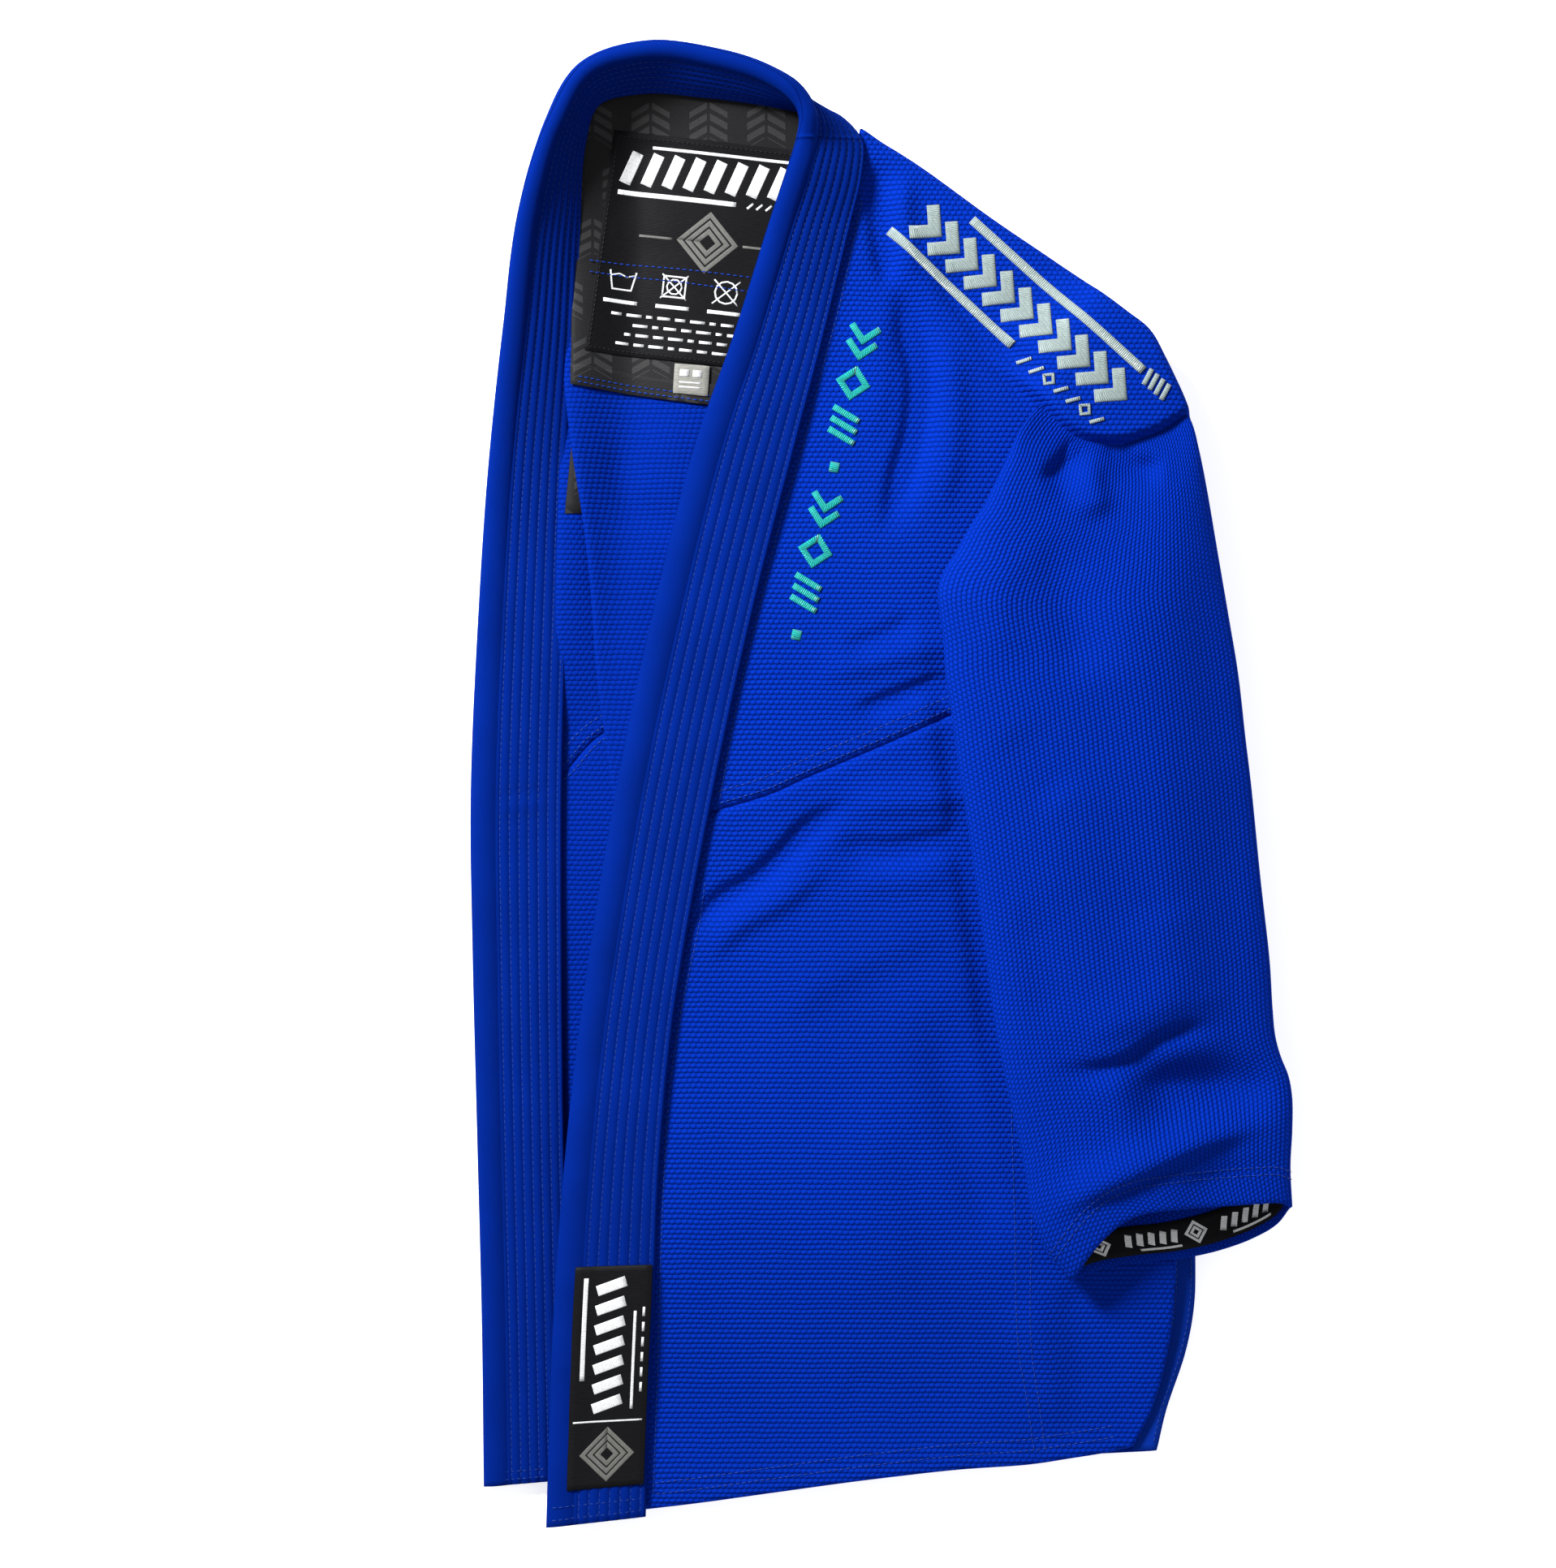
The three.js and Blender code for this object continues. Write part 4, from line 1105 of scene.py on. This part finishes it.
# Right front, inside up, with its skirt seam.
low_seam = RIGHT_SEAM[:, 1] < 3
for name, edges, rows, cols, depth, nodes, on in (
        ("right_front_upper",
         (NECK_AND_SLOPE, RIGHT_SIDE_UPPER, RIGHT_SKIRT_SEAM, RIGHT_SEAM[~low_seam]),
         100, 90, 0.9, ("right_front_upper", "right_gusset"), ["right_sleeve"]),
        ("right_front_skirt",
         (RIGHT_SKIRT_SEAM, RIGHT_SIDE_LOWER, RIGHT_HEM, RIGHT_SEAM[low_seam]),
         110, 80, 1.1, ("right_front_skirt",), ["floor"])):
    grid = panel(edges, rows, cols, right_front_z, RIGHT_SKIRT_SEAM, depth, 1.6)
    panel_sheet(cloth(name, grid, CLOTH, INNER_WEAVE_PAINTED_SHADE), "body", nodes)


# ---- linings, tapes and labels -------------------------------------------------------

def raised(height, lift):
    return lambda x, y: height(x, y) + lift


def four_cornered(points, rows, cols, height):
    """A laid piece with straight edges, from its corners clockwise from the top left."""
    a, b, c, d = scaled(points)
    return laid(patch(*(np.array(edge) for edge in ((a, b), (b, c), (d, c), (a, d))), rows, cols),
                height)


def strip_sheet(name, left, right, count, height, thickness, material, nodes):
    """A narrow sheet between two lines that run downwards."""
    left, right = resampled(left, count), resampled(right, count)
    columns = np.linspace(0, 1, 6)[None, :, None]
    plan = left[:, None] * (1 - columns) + right[:, None] * columns
    panel_sheet(cloth(name, laid(plan, height), thickness, material), "body", nodes)


YOKE_FOLDS = [([(-150, 300), (-128, 296), (-100, 300)], 0.5, 10),
              ([(-150, 250), (-120, 246), (-84, 250)], -0.4, 8)]


def yoke_z(x, y):
    return (back_z(x, y) + YOKE_TOP - BACK_HIGH_TOP + creases(x, y, YOKE_FOLDS)
            + waves(x, y, 21, 45, 0.12))


YOKE_HEM = curve([(-166.5, 215), (-93, 204.5), (20, 196), (124, 206)])
UNDER_YOKE = 3.6        # how far the yoke runs under the collar
YOKE_LEFT = collar_seam(FOLD_STATION, 7.25, UNDER_YOKE)[0]
YOKE_TOP_EDGE = np.vstack([collar_seam(FOLD_STATION, NECK_STATION, UNDER_YOKE)[0][:-1],
                           curve([(-14, 336), (60, 287), (122, 243)])])
grid = laid(patch(YOKE_TOP_EDGE, curve([(122, 243), (124, 206)]), YOKE_HEM, YOKE_LEFT, 70, 130),
            yoke_z)
panel_sheet(cloth("yoke_lining", grid, LINING, RIPSTOP), "body", ("yoke_lining",))

plan = patch(curve([(-152, 346), (-120, 358), (-14, 332), (110, 248)]),
             curve([(110, 248), (118, 205)]), curve([(-170, 146), (-40, 150), (118, 205)]),
             collar_seam(8.8, 6.3, 4.0)[0], 40, 60)
grid = laid(plan, raised(right_front_z, LINING + 0.2))
panel_sheet(cloth("right_yoke_lining", grid, LINING, RIPSTOP), "body",
            ("right_yoke_lining",))

strip_sheet("yoke_hem", YOKE_HEM[:70:3] + [0, -0.3], YOKE_HEM[:70:3] + [0, 10.6], 40,
            raised(yoke_z, 0.75), LINING, RIPSTOP, ())

vent_outer = curve([(166, -205), (168.5, -254), (168, -280), (163.5, -305), (153, -337),
                    (148, -358)])
strip_sheet("left_back_vent_tape", vent_outer - [12.5, 0], vent_outer - [0.6, 0], 60,
            raised(back_z, 1.05), 1.0, TAPE, ("left_back_vent_tape",))
strip_sheet("left_side_tape", curve([(137, 100), (138, -60), (139, -190)]),
            curve([(149, 100), (150, -60), (151, -190)]), 40,
            raised(back_z, 1.05), 1.0, TAPE, ("left_side_tape",))
vent_low = curve([(152, -208), (153, -262), (149, -305), (136, -346)])
strip_sheet("right_back_vent_tape", vent_low - [12, 0], vent_low, 40,
            raised(right_front_z, 1.1), 0.8, TAPE,
            ("right_back_vent_tape",))

label_z = raised(yoke_z, 0.7)
grid = four_cornered([(-143, 351), (-30, 338), (-45, 220), (-159, 233)], 40, 40, label_z)
label_uv = np.dstack(np.meshgrid(np.linspace(0, 118, 40), np.linspace(0, 118, 40)))
panel_sheet(cloth("neck_label", grid, LABEL, SATIN, label_uv), "body",
            ("neck_label",))

size_z = raised(yoke_z, 1.6)
grid = four_cornered([(-111, 226), (-92.5, 224.5), (-93.5, 208.5), (-112, 210.5)], 8, 8, size_z)
panel_sheet(cloth("size_label", grid, 0.6, SIZE_SATIN), "body", ("size_label",))

marks = Motifs(plan_frame((-111, 226), (-92.5, 224.5), size_z, 0.05), 0.1)
for start, row, length, wide in ((3, -4.5, 5, 3.6), (10, -4.5, 5, 3.6), (3, -9.5, 12, 0.8),
                                 (3, -12, 12, 0.8)):
    marks.ribbon([(start, row), (start + length, row)], wide, step=2)
carried(marks.finish("size_label_weave", WHITE_THREAD), "body")


def woven_marks(name, material, place, body, draw):
    """A label's raised weave, drawn by the function draw."""
    marks = Motifs(place, 0.12)
    draw(marks)
    carried(marks.finish(name, material), body)


def neck_label_white(m):
    """A banner of slanted blocks, wash symbols without words and rows of strokes."""
    for k in range(9):
        p = 9 + k * 11.4
        m.ribbon([(p, -27), (p + 5.5, -10)], 6.2)
    m.ribbon([(6, -32), (70, -32)], 2.6)
    m.ribbon([(22, -6.5), (110, -6.5)], 1.6)
    for k in range(7):
        m.ribbon([(76 + k * 5, -33.5), (79 + k * 5, -30.5)], 1.2)
    for k, p in enumerate((14, 42, 70, 98)):
        q = -80
        if k == 0:
            m.ribbon([(p - 7, q + 6), (p - 5, q - 4), (p + 5, q - 4), (p + 7, q + 6)], 0.9)
            m.ribbon([(p - 7, q + 3), (p - 2, q + 4.5), (p + 2, q + 3), (p + 7, q + 4.5)], 0.7)
        elif k == 1:
            m.loop([(p - 6, q - 5), (p + 6, q - 5), (p + 6, q + 6), (p - 6, q + 6)], 0.9)
            ring(m, p, q + 0.5, 4, 10, 0.8)
        elif k == 2:
            ring(m, p, q + 0.5, 6, 12, 0.9)
        else:
            m.ribbon([(p - 7, q - 4), (p + 7, q - 4), (p + 5, q + 4), (p - 3, q + 4)], 0.9)
        if k in (1, 2):
            m.ribbon([(p - 7, q - 6), (p + 7, q + 7)], 0.8)
            m.ribbon([(p - 7, q + 7), (p + 7, q - 6)], 0.8)
        m.ribbon([(p - 9, q - 10.5), (p + 9, q - 10.5)], 2.0)
    for row, (start, end) in enumerate(((10, 104), (22, 96), (18, 98), (14, 90))):
        q = -97 - row * 5.2
        p, k = start, row
        while p < end:
            wide = (5.5, 8.0, 3.5, 7.0)[k % 4]
            m.ribbon([(p, q), (p + wide, q)], 1.5)
            p += wide + 2.6
            k += 1


def neck_label_grey(m):
    for size in (15, 10.5, 6):
        diamond(m, 57, -54, size, 2.4)
    m.ribbon([(20, -54), (38, -54)], 1.3)
    m.ribbon([(76, -54), (94, -54)], 1.3)


neck_place = plan_frame((-144, 351), (-31, 338), label_z, 0.05)
woven_marks("neck_label_white_weave", WHITE_THREAD, neck_place, "body", neck_label_white)
woven_marks("neck_label_grey_weave", GREY_THREAD, neck_place, "body", neck_label_grey)

# Lapel label, lying on the outer face of the quilting.
LAPEL_LABEL_T, _ = along_strip(24.7, 26.62, 4.0)
LAPEL_LABEL_LENGTH = 117.0


def lapel_face(t_share, a):
    """A point just above the outer face of the label, t_share of the way down it."""
    t = np.interp(t_share, np.linspace(0, 1, len(LAPEL_LABEL_T)), LAPEL_LABEL_T)
    sewn, across, normal, width, _ = strip_frames(t.ravel())
    high = 3.5 + 1.0 * smooth((a.ravel() - 30) / 14)
    point = sewn + across * (a.ravel() * width / STRIP_WIDTH)[:, None] - normal * high[:, None]
    return point.reshape(*t.shape, 3)


def lapel_place(p, q):
    return lapel_face(p / LAPEL_LABEL_LENGTH, q) + [0, 0, 0.6]


share, a = np.meshgrid(np.linspace(0, 1, 40), np.linspace(1.5, 42.0, 12), indexing="ij")
grid = lapel_face(share, a)[:, ::-1] + [0, 0, 0.55]
panel_sheet(cloth("lapel_label", grid, LABEL, SATIN, np.dstack([a[:, ::-1], share * 118])),
            "left_front_flap", ("lapel_label",))


def lapel_label_white(m):
    for k in range(7):
        p = 8 + k * 10.4
        m.ribbon([(p, 15), (p + 5, 30)], 5.6)
    m.ribbon([(6, 36), (60, 36)], 2.4)
    m.ribbon([(24, 9.5), (76, 9.5)], 1.5)
    m.ribbon([(82, 3.5), (82, 40)], 0.9)
    for k in range(6):
        m.ribbon([(22 + k * 8, 5), (27 + k * 8, 5)], 1.3)


def lapel_label_grey(m):
    for size in (13, 9, 5):
        diamond(m, 99.5, 21.5, size, 2.2)


woven_marks("lapel_label_white_weave", WHITE_THREAD, lapel_place, "left_front_flap",
            lapel_label_white)
woven_marks("lapel_label_grey_weave", GREY_THREAD, lapel_place, "left_front_flap",
            lapel_label_grey)


# ---- embroidery ----------------------------------------------------------------------

def silver_embroidery():
    """A band of bold chevrons between two rules, along the shoulder."""
    m = Motifs(plan_frame((17, 306), (141, 199), left_front_z), 0.9)
    m.ribbon([(26, 17.5), (148, 14.5)], 5.0)
    m.ribbon([(-4, -15.5), (86, -19.0)], 5.0)
    for k in range(11):
        chevron(m, 10 + k * 13.2, -0.3 * k, 9.8, 7.0)
    for k in range(4):
        m.ribbon([(153 + k * 4.1, 9), (151 + k * 4.1, 18)], 2.6)
    for k in range(7):
        p = 94 + k * 8.4
        if k % 3 == 2:
            diamond(m, p + 2, -21.5, 3.2, 1.6)
        else:
            m.ribbon([(p, -25), (p + 4.5, -18.5)], 2.0)
    return m.finish("shoulder_embroidery", SILVER)


def teal_embroidery():
    """A column of small strokes down the chest beside the lapel."""
    m = Motifs(plan_frame((-8, 248), (-49, 66), left_front_z), 0.6)
    for k in range(8):
        p = 11 + k * 23
        if k % 4 == 0:
            chevron(m, p - 4, 0, 7.6, 3.6)
            chevron(m, p + 4.5, 0, 7.6, 3.6)
        elif k % 4 == 1:
            diamond(m, p, 0, 7.2, 3.4)
        elif k % 4 == 2:
            for step in (-6, 0, 6):
                m.ribbon([(p + step - 2.5, -7.5), (p + step + 2.5, 7.5)], 3.4)
        else:
            m.ribbon([(p - 2.6, 0), (p + 2.6, 0)], 5.2)
    return m.finish("chest_embroidery", TEAL)


carried(silver_embroidery(), "body", ("shoulder_embroidery",))
carried(teal_embroidery(), "left_front_flap", ("chest_embroidery",),
        bend=FRONT_BEND)


# ---- sleeves -------------------------------------------------------------------------

SLEEVE_LEFT = curve([(88, 207), (80, 199), (73, 189), (69, 179), (62, 165), (55, 150), (48, 140),
                     (40, 125), (33, 114), (30, 104), (31, 92), (33, 78), (34, 60), (37, 40),
                     (41, 10), (45, -15), (52, -65), (56, -95), (60, -125), (64, -147),
                     (70, -176), (76, -203), (80, -230), (85, -243), (92, -255), (101, -266)])
SLEEVE_RIGHT = curve([(158, 208), (165.8, 196), (170, 180), (174, 160), (180, 125), (186, 90),
                      (191, 60), (195, 25), (198, 0), (203, -50), (208, -95), (209.5, -120),
                      (211, -135), (214, -146), (218, -156), (220, -168), (220, -185),
                      (219, -205), (220, -226)])
SLEEVE_HEAD = curve([(88, 207), (97, 196), (108, 189), (125, 186), (142, 191), (152, 198),
                     (158, 208)])
UPPER_LIP = curve([(101, -266), (105, -259), (115, -245), (128, -233), (140, -228),
                   (160, -225.5), (180, -224), (200, -223), (213, -223), (220, -226)])
LOWER_LIP = curve([(101, -266), (110, -262.5), (120, -259.5), (140, -256.5), (160, -254.5),
                   (180, -250.5), (200, -243.5), (213, -235.5), (220, -226)])
SLEEVE_FLOOR = 1.0      # the sleeve lies this far above the front
HALF_SLEEVE = 10.0      # a sleeve's middle above what it lies on, where its outline was drawn
SLEEVE_FOLDS = [
    ([(86, -150), (108, -151), (130, -146), (146, -135), (164, -129), (184, -130)], -6.0, 6),
    ([(100, -134), (128, -126), (160, -114), (196, -112)], 2.4, 11),
    ([(122, -164), (150, -160), (185, -160), (224, -168)], -15.0, 22),
    ([(226, -178), (200, -181), (166, -190), (136, -203), (108, -216), (78, -232)], 8.5, 10),
    ([(226, -204), (190, -206), (150, -216)], -3.5, 12),
    ([(96, 140), (92, 112), (100, 84), (112, 52)], -2.8, 15),
    ([(70, 128), (62, 100), (64, 60)], 1.8, 14),
    ([(64, 30), (80, 8), (96, -12)], -2.2, 14),
    ([(120, 130), (132, 80), (140, 20), (146, -40)], 1.6, 20),
    ([(168, 120), (176, 60), (180, 0)], -1.8, 16),
    ([(76, 186), (84, 170), (92, 150)], 2.2, 10),
    ([(106, 190), (97, 173), (82, 158)], -8.0, 8),
    ([(112, 178), (112, 160), (116, 140)], 6.0, 9),
    ([(118, 186), (132, 172), (152, 168)], -7.5, 8),
    ([(72, -60), (82, -100), (86, -134)], -2.4, 13),
    ([(150, -60), (158, -90), (170, -110)], 1.6, 16),
]


def sleeve_grid(left, right, head, upper_lip, lower_lip, rows, half, height, floor_z, dents):
    """Rings of a flattened sleeve. Each ring runs over the top from left to right and back
    underneath."""
    s = np.sin(np.linspace(-math.pi / 2, math.pi / 2, half))
    profile = np.sqrt(np.clip(1 - np.abs(s) ** 2.7, 0, 1))[None]
    tall = height(np.linspace(0, 1, rows)[:, None], s[None])
    columns = (s + 1) / 2 * 199
    i = np.clip(columns.astype(int), 0, 198)
    w = (columns - i)[None, :, None]
    rings = []
    for lip in (upper_lip, lower_lip):
        plan = patch(head, right, lip, left, rows, 200)
        plan = plan[:, i] * (1 - w) + plan[:, i + 1] * w
        drawn_x, drawn_y = plan[..., 0], plan[..., 1]
        x, y = seen(drawn_x, drawn_y, floor_z(drawn_x, drawn_y) + HALF_SLEEVE)
        middle = floor_z(x, y) + tall * 0.42
        if not rings:       # the upper face
            hollow = profile ** 2 * np.minimum(tall / 9, 1)
            z = middle + tall * 0.58 * profile + dents(x, y) * hollow
        else:
            z = middle - tall * 0.42 * np.minimum(profile * 1.15, 1)
        rings.append(np.dstack([x, y, z]))
    over, under = rings
    return np.concatenate([over, under[:, ::-1][:, 1:-1]], axis=1)


def sleeve_uv(grid):
    """Cloth coordinates whose rows of pearls run down the sleeve."""
    down = distance_along(grid.mean(1))
    round_it = distance_along(grid[len(grid) // 2])
    return np.dstack([np.broadcast_to(down[:, None], grid.shape[:2]),
                      np.broadcast_to(round_it[None], grid.shape[:2])])


def left_sleeve_height(v, s):
    """The sleeve fills out quickly at the two ends of its head and slowly in the middle."""
    reach = 0.03 + 0.085 * (1 - s ** 2)
    rise = 1 - np.exp(-((v / reach) ** 1.4))
    return 3.2 + 18.5 * rise + 1.8 * smooth((v - 0.7) / 0.3)


def left_dents(x, y):
    return creases(x, y, SLEEVE_FOLDS) + waves(x, y, 31, 90, 0.5)


left_grid = sleeve_grid(SLEEVE_LEFT, SLEEVE_RIGHT, SLEEVE_HEAD, UPPER_LIP, LOWER_LIP, 170, 74,
                        left_sleeve_height, raised(left_front_base, SLEEVE_FLOOR), left_dents)
right_mouth = curve([(24, -236), (142, -230)])
right_grid = sleeve_grid(
    curve([(48, 205), (20, 150), (8, 90), (10, 0), (14, -90), (20, -170), (24, -236)]),
    curve([(140, 205), (146, 150), (148, 90), (148, 0), (146, -90), (144, -170), (142, -230)]),
    curve([(48, 205), (140, 205)]), right_mouth, right_mouth, 70, 30,
    lambda v, s: 6.6 + 0 * v * s, lambda x, y: np.full_like(x, 0.3),
    lambda x, y: np.zeros_like(x))
for name, grid, weave, flat, on, bend in (
        ("left_sleeve", left_grid, SLEEVE_WEAVE, (0.34, 0.46),
         ["left_front_upper", "left_front_skirt"],
         dict(start=(0.122, 0.200, 0), end=(0.118, 0.110, 0))),
        ("right_sleeve", right_grid, WEAVE, (0.29, 0.45), ["floor"],
         dict(start=(0.1, 0.2, 0), end=(0.1, 0.11, 0)))):
    panel_sheet(tube(name, grid, CLOTH, weave, sleeve_uv(grid)), name + "_body", (name,),
                bend=bend)


def cuff_band(grid, back, front, inset):
    """A ring of tape inside a cuff, between two distances in from its mouth."""
    inner = grid - grid_normals(grid, wrap=True) * inset
    pitch = np.linalg.norm(inner[-1] - inner[-2], axis=1)
    last_row = len(grid) - 1
    bands = []
    for distance in np.linspace(back, front, 6):
        rows = last_row - distance / pitch
        low = np.floor(rows).astype(int)
        w = (rows - low)[:, None]
        k = np.arange(grid.shape[1])
        bands.append(inner[low, k] * (1 - w) + inner[np.minimum(low + 1, last_row), k] * w)
    return np.array(bands)


def cuff_tape(side, grid, thickness):
    """Tape inside a cuff. Gives the grid of its outer face."""
    band = cuff_band(grid, TAPE_BACK, TAPE_FRONT, CLOTH + 0.1)
    tape = tube(side + "_cuff_tape", band, thickness, BLACK_TAPE, sleeve_uv(band))
    panel_sheet(tape, side + "_sleeve_body", (side + "_cuff_tape",))
    return band


TAPE_BACK, TAPE_FRONT = 21.0, 4.5
TAPE_THICKNESS = 0.5
band = cuff_tape("left", left_grid, TAPE_THICKNESS)
cuff_tape("right", right_grid, 0.4)

# The left tape's pattern runs round its inner face.
inward = -grid_normals(band, wrap=True)
inner_band = band + inward * TAPE_THICKNESS
ring_step = distance_along(inner_band.mean(0))


def tape_place(p, q):
    """p runs round the tape and q from its back edge to its front edge."""
    column = np.interp(p, ring_step, np.arange(len(ring_step)))
    row = np.clip(q / (TAPE_BACK - TAPE_FRONT) * 5, 0, 5)
    c, r = np.floor(column).astype(int), np.floor(row).astype(int)
    c1, r1 = np.minimum(c + 1, len(ring_step) - 1), np.minimum(r + 1, 5)
    wc, wr = (column - c)[..., None], (row - r)[..., None]
    point = ((inner_band[r, c] * (1 - wc) + inner_band[r, c1] * wc) * (1 - wr)
             + (inner_band[r1, c] * (1 - wc) + inner_band[r1, c1] * wc) * wr)
    return point + inward[r, c] * 0.12


marks = Motifs(tape_place, 0.0)
place = 6.0
boxed = False
while place < ring_step[-1] - 30:
    if boxed:
        diamond(marks, place + 6, 8.2, 5.6, 1.5)
        diamond(marks, place + 6, 8.2, 2.6, 1.4)
        place += 17
    else:
        for k in range(5):
            marks.ribbon([(place + k * 6.2, 4.5), (place + 2.4 + k * 6.2, 11.5)], 3.4, step=1.5)
        marks.ribbon([(place - 1, 14), (place + 22, 14)], 1.3, step=2)
        place += 36
    boxed = not boxed
carried(marks.finish("left_cuff_tape_pattern", WHITE_THREAD), "left_sleeve_body")


# ---- seams and hems ------------------------------------------------------------------

stitches = Stitching()
stitches.beside(SKIRT_SEAM, (3.2, 9.4), 6, -20, left_front_z)
stitches.beside(FRONT_HEM, (7.0, 13.0), 6, -6, left_front_z)
for points in ([(66, -90), (69, -160), (71, -230), (73, -300), (78, -330), (82, -358)],
               [(76, -90), (79, -160), (80, -230), (80, -300), (85, -335), (88, -358)]):
    stitches.on(curve(points), left_front_z)
for seam in (SEAM_UPPER, SEAM_LOWER):
    stitches.beside(seam, (6.0,), 20, -4, left_front_z)
carried(stitches.finish("left_front_stitching", BLUE_STITCH), "left_front_flap",
        bend=FRONT_BEND)

stitches = Stitching()
stitches.beside(RIGHT_SKIRT_SEAM, (3.0, 8.5, -3.0), None, 60, right_front_z)
stitches.beside(YOKE_HEM, (1.4, 4.2), 2, 66, raised(yoke_z, 0.85))
for points in ([(-157, 281), (-110, 277), (-60, 271)], [(-157, 275), (-110, 270), (-60, 263)]):
    stitches.on(curve(points), raised(label_z, 0.05))
stitches.beside(vent_outer, (-2.2, -10.2), 4, -4, raised(back_z, 1.1))
stitches.beside(BACK_HEM, (7.0, 12.0), 2, -8, back_z)
carried(stitches.finish("body_stitching", BLUE_STITCH), "body")

stitches = Stitching()
edge = scaled([(-141.5, 348.5), (-32, 336), (-47, 222), (-157, 235), (-141.5, 348.5)])
for a, b in zip(edge[:-1], edge[1:]):
    stitches.on(resampled(np.array([a, b]), 60), raised(label_z, 0.05), pitch=2.6, length=1.9,
                radius=0.25)
carried(stitches.finish("label_stitching", BLACK_STITCH), "body")

stitches = Stitching()
cuff_normals = grid_normals(left_grid, wrap=True)[-8]
for distance in (14.5, 18.5):
    stitches.run(cuff_band(left_grid, distance, distance, -0.15)[0], cuff_normals)
carried(stitches.finish("left_cuff_stitching", BLUE_STITCH), "left_sleeve_body")

# Underarm gusset: a diamond of the same cloth let in below the sleeve.
grid = four_cornered([(92, 166), (128, 166), (120, 72), (84, 82)], 24, 12,
                     raised(left_front_base, 0.9))
panel_sheet(cloth("left_gusset", grid, 0.6, WEAVE), "body", ("left_gusset",))


# ---- studio --------------------------------------------------------------------------

FLOOR_REACH = 4         # metres from the middle to each side
FLOOR_WHITE = (0.92, 0.92, 0.92, 1)
FLOOR_GLOW = 0.68       # keeps the floor white where the jacket's shadow is thin
WORLD_GLOW = 0.36
KEY = dict(place=(-1.25, 1.25, 1.3), size=0.5, power=104)   # from the picture's top left
FILL = dict(place=(1.3, -1.5, 1.7), size=1.4, power=8)
LENS, SENSOR = 85.0, 36.0


def floor():
    mesh = bpy.data.meshes.new("floor")
    r = FLOOR_REACH
    mesh.from_pydata([(-r, -r, 0), (r, -r, 0), (r, r, 0), (-r, r, 0)], [], [(0, 1, 2, 3)])
    obj = bpy.data.objects.new("floor", mesh)
    bpy.context.collection.objects.link(obj)
    paint = bpy.data.materials.new("floor_white")
    paint.use_nodes = True
    shader = paint.node_tree.nodes["Principled BSDF"]
    shader.inputs["Base Color"].default_value = FLOOR_WHITE
    shader.inputs["Roughness"].default_value = 0.9
    shader.inputs["Specular IOR Level"].default_value = 0.1
    shader.inputs["Emission Color"].default_value = (1, 1, 1, 1)
    shader.inputs["Emission Strength"].default_value = FLOOR_GLOW
    mesh.materials.append(paint)


def area_light(name, place, size, power):
    """A square light pointed at the jacket."""
    data = bpy.data.lights.new(name, "AREA")
    data.shape = "SQUARE"
    data.size = size
    data.energy = power
    obj = bpy.data.objects.new(name, data)
    bpy.context.collection.objects.link(obj)
    obj.location = place
    way = -Vector(place)
    obj.rotation_euler = way.to_track_quat("-Z", "Y").to_euler()


def studio():
    world = bpy.data.worlds.new("studio")
    bpy.context.scene.world = world
    world.use_nodes = True
    background = world.node_tree.nodes["Background"]
    background.inputs["Color"].default_value = (1, 1, 1, 1)
    background.inputs["Strength"].default_value = WORLD_GLOW
    area_light("key", **KEY)
    area_light("fill", **FILL)


def camera():
    """Straight down on the jacket, with the jacket a little to the right of the middle."""
    view_height = 0.8404     # of the jacket's surroundings, in metres
    centre_x, centre_y, level = VIEW_CENTRE[0] * MM, VIEW_CENTRE[1] * MM, VIEW_LEVEL * MM
    data = bpy.data.cameras.new("camera")
    data.lens = LENS
    data.sensor_width = SENSOR
    obj = bpy.data.objects.new("camera", data)
    bpy.context.collection.objects.link(obj)
    obj.location = (centre_x, centre_y, level + view_height * LENS / SENSOR)
    bpy.context.scene.camera = obj


floor()
studio()
camera()
bpy.context.scene.view_settings.view_transform = "Standard"
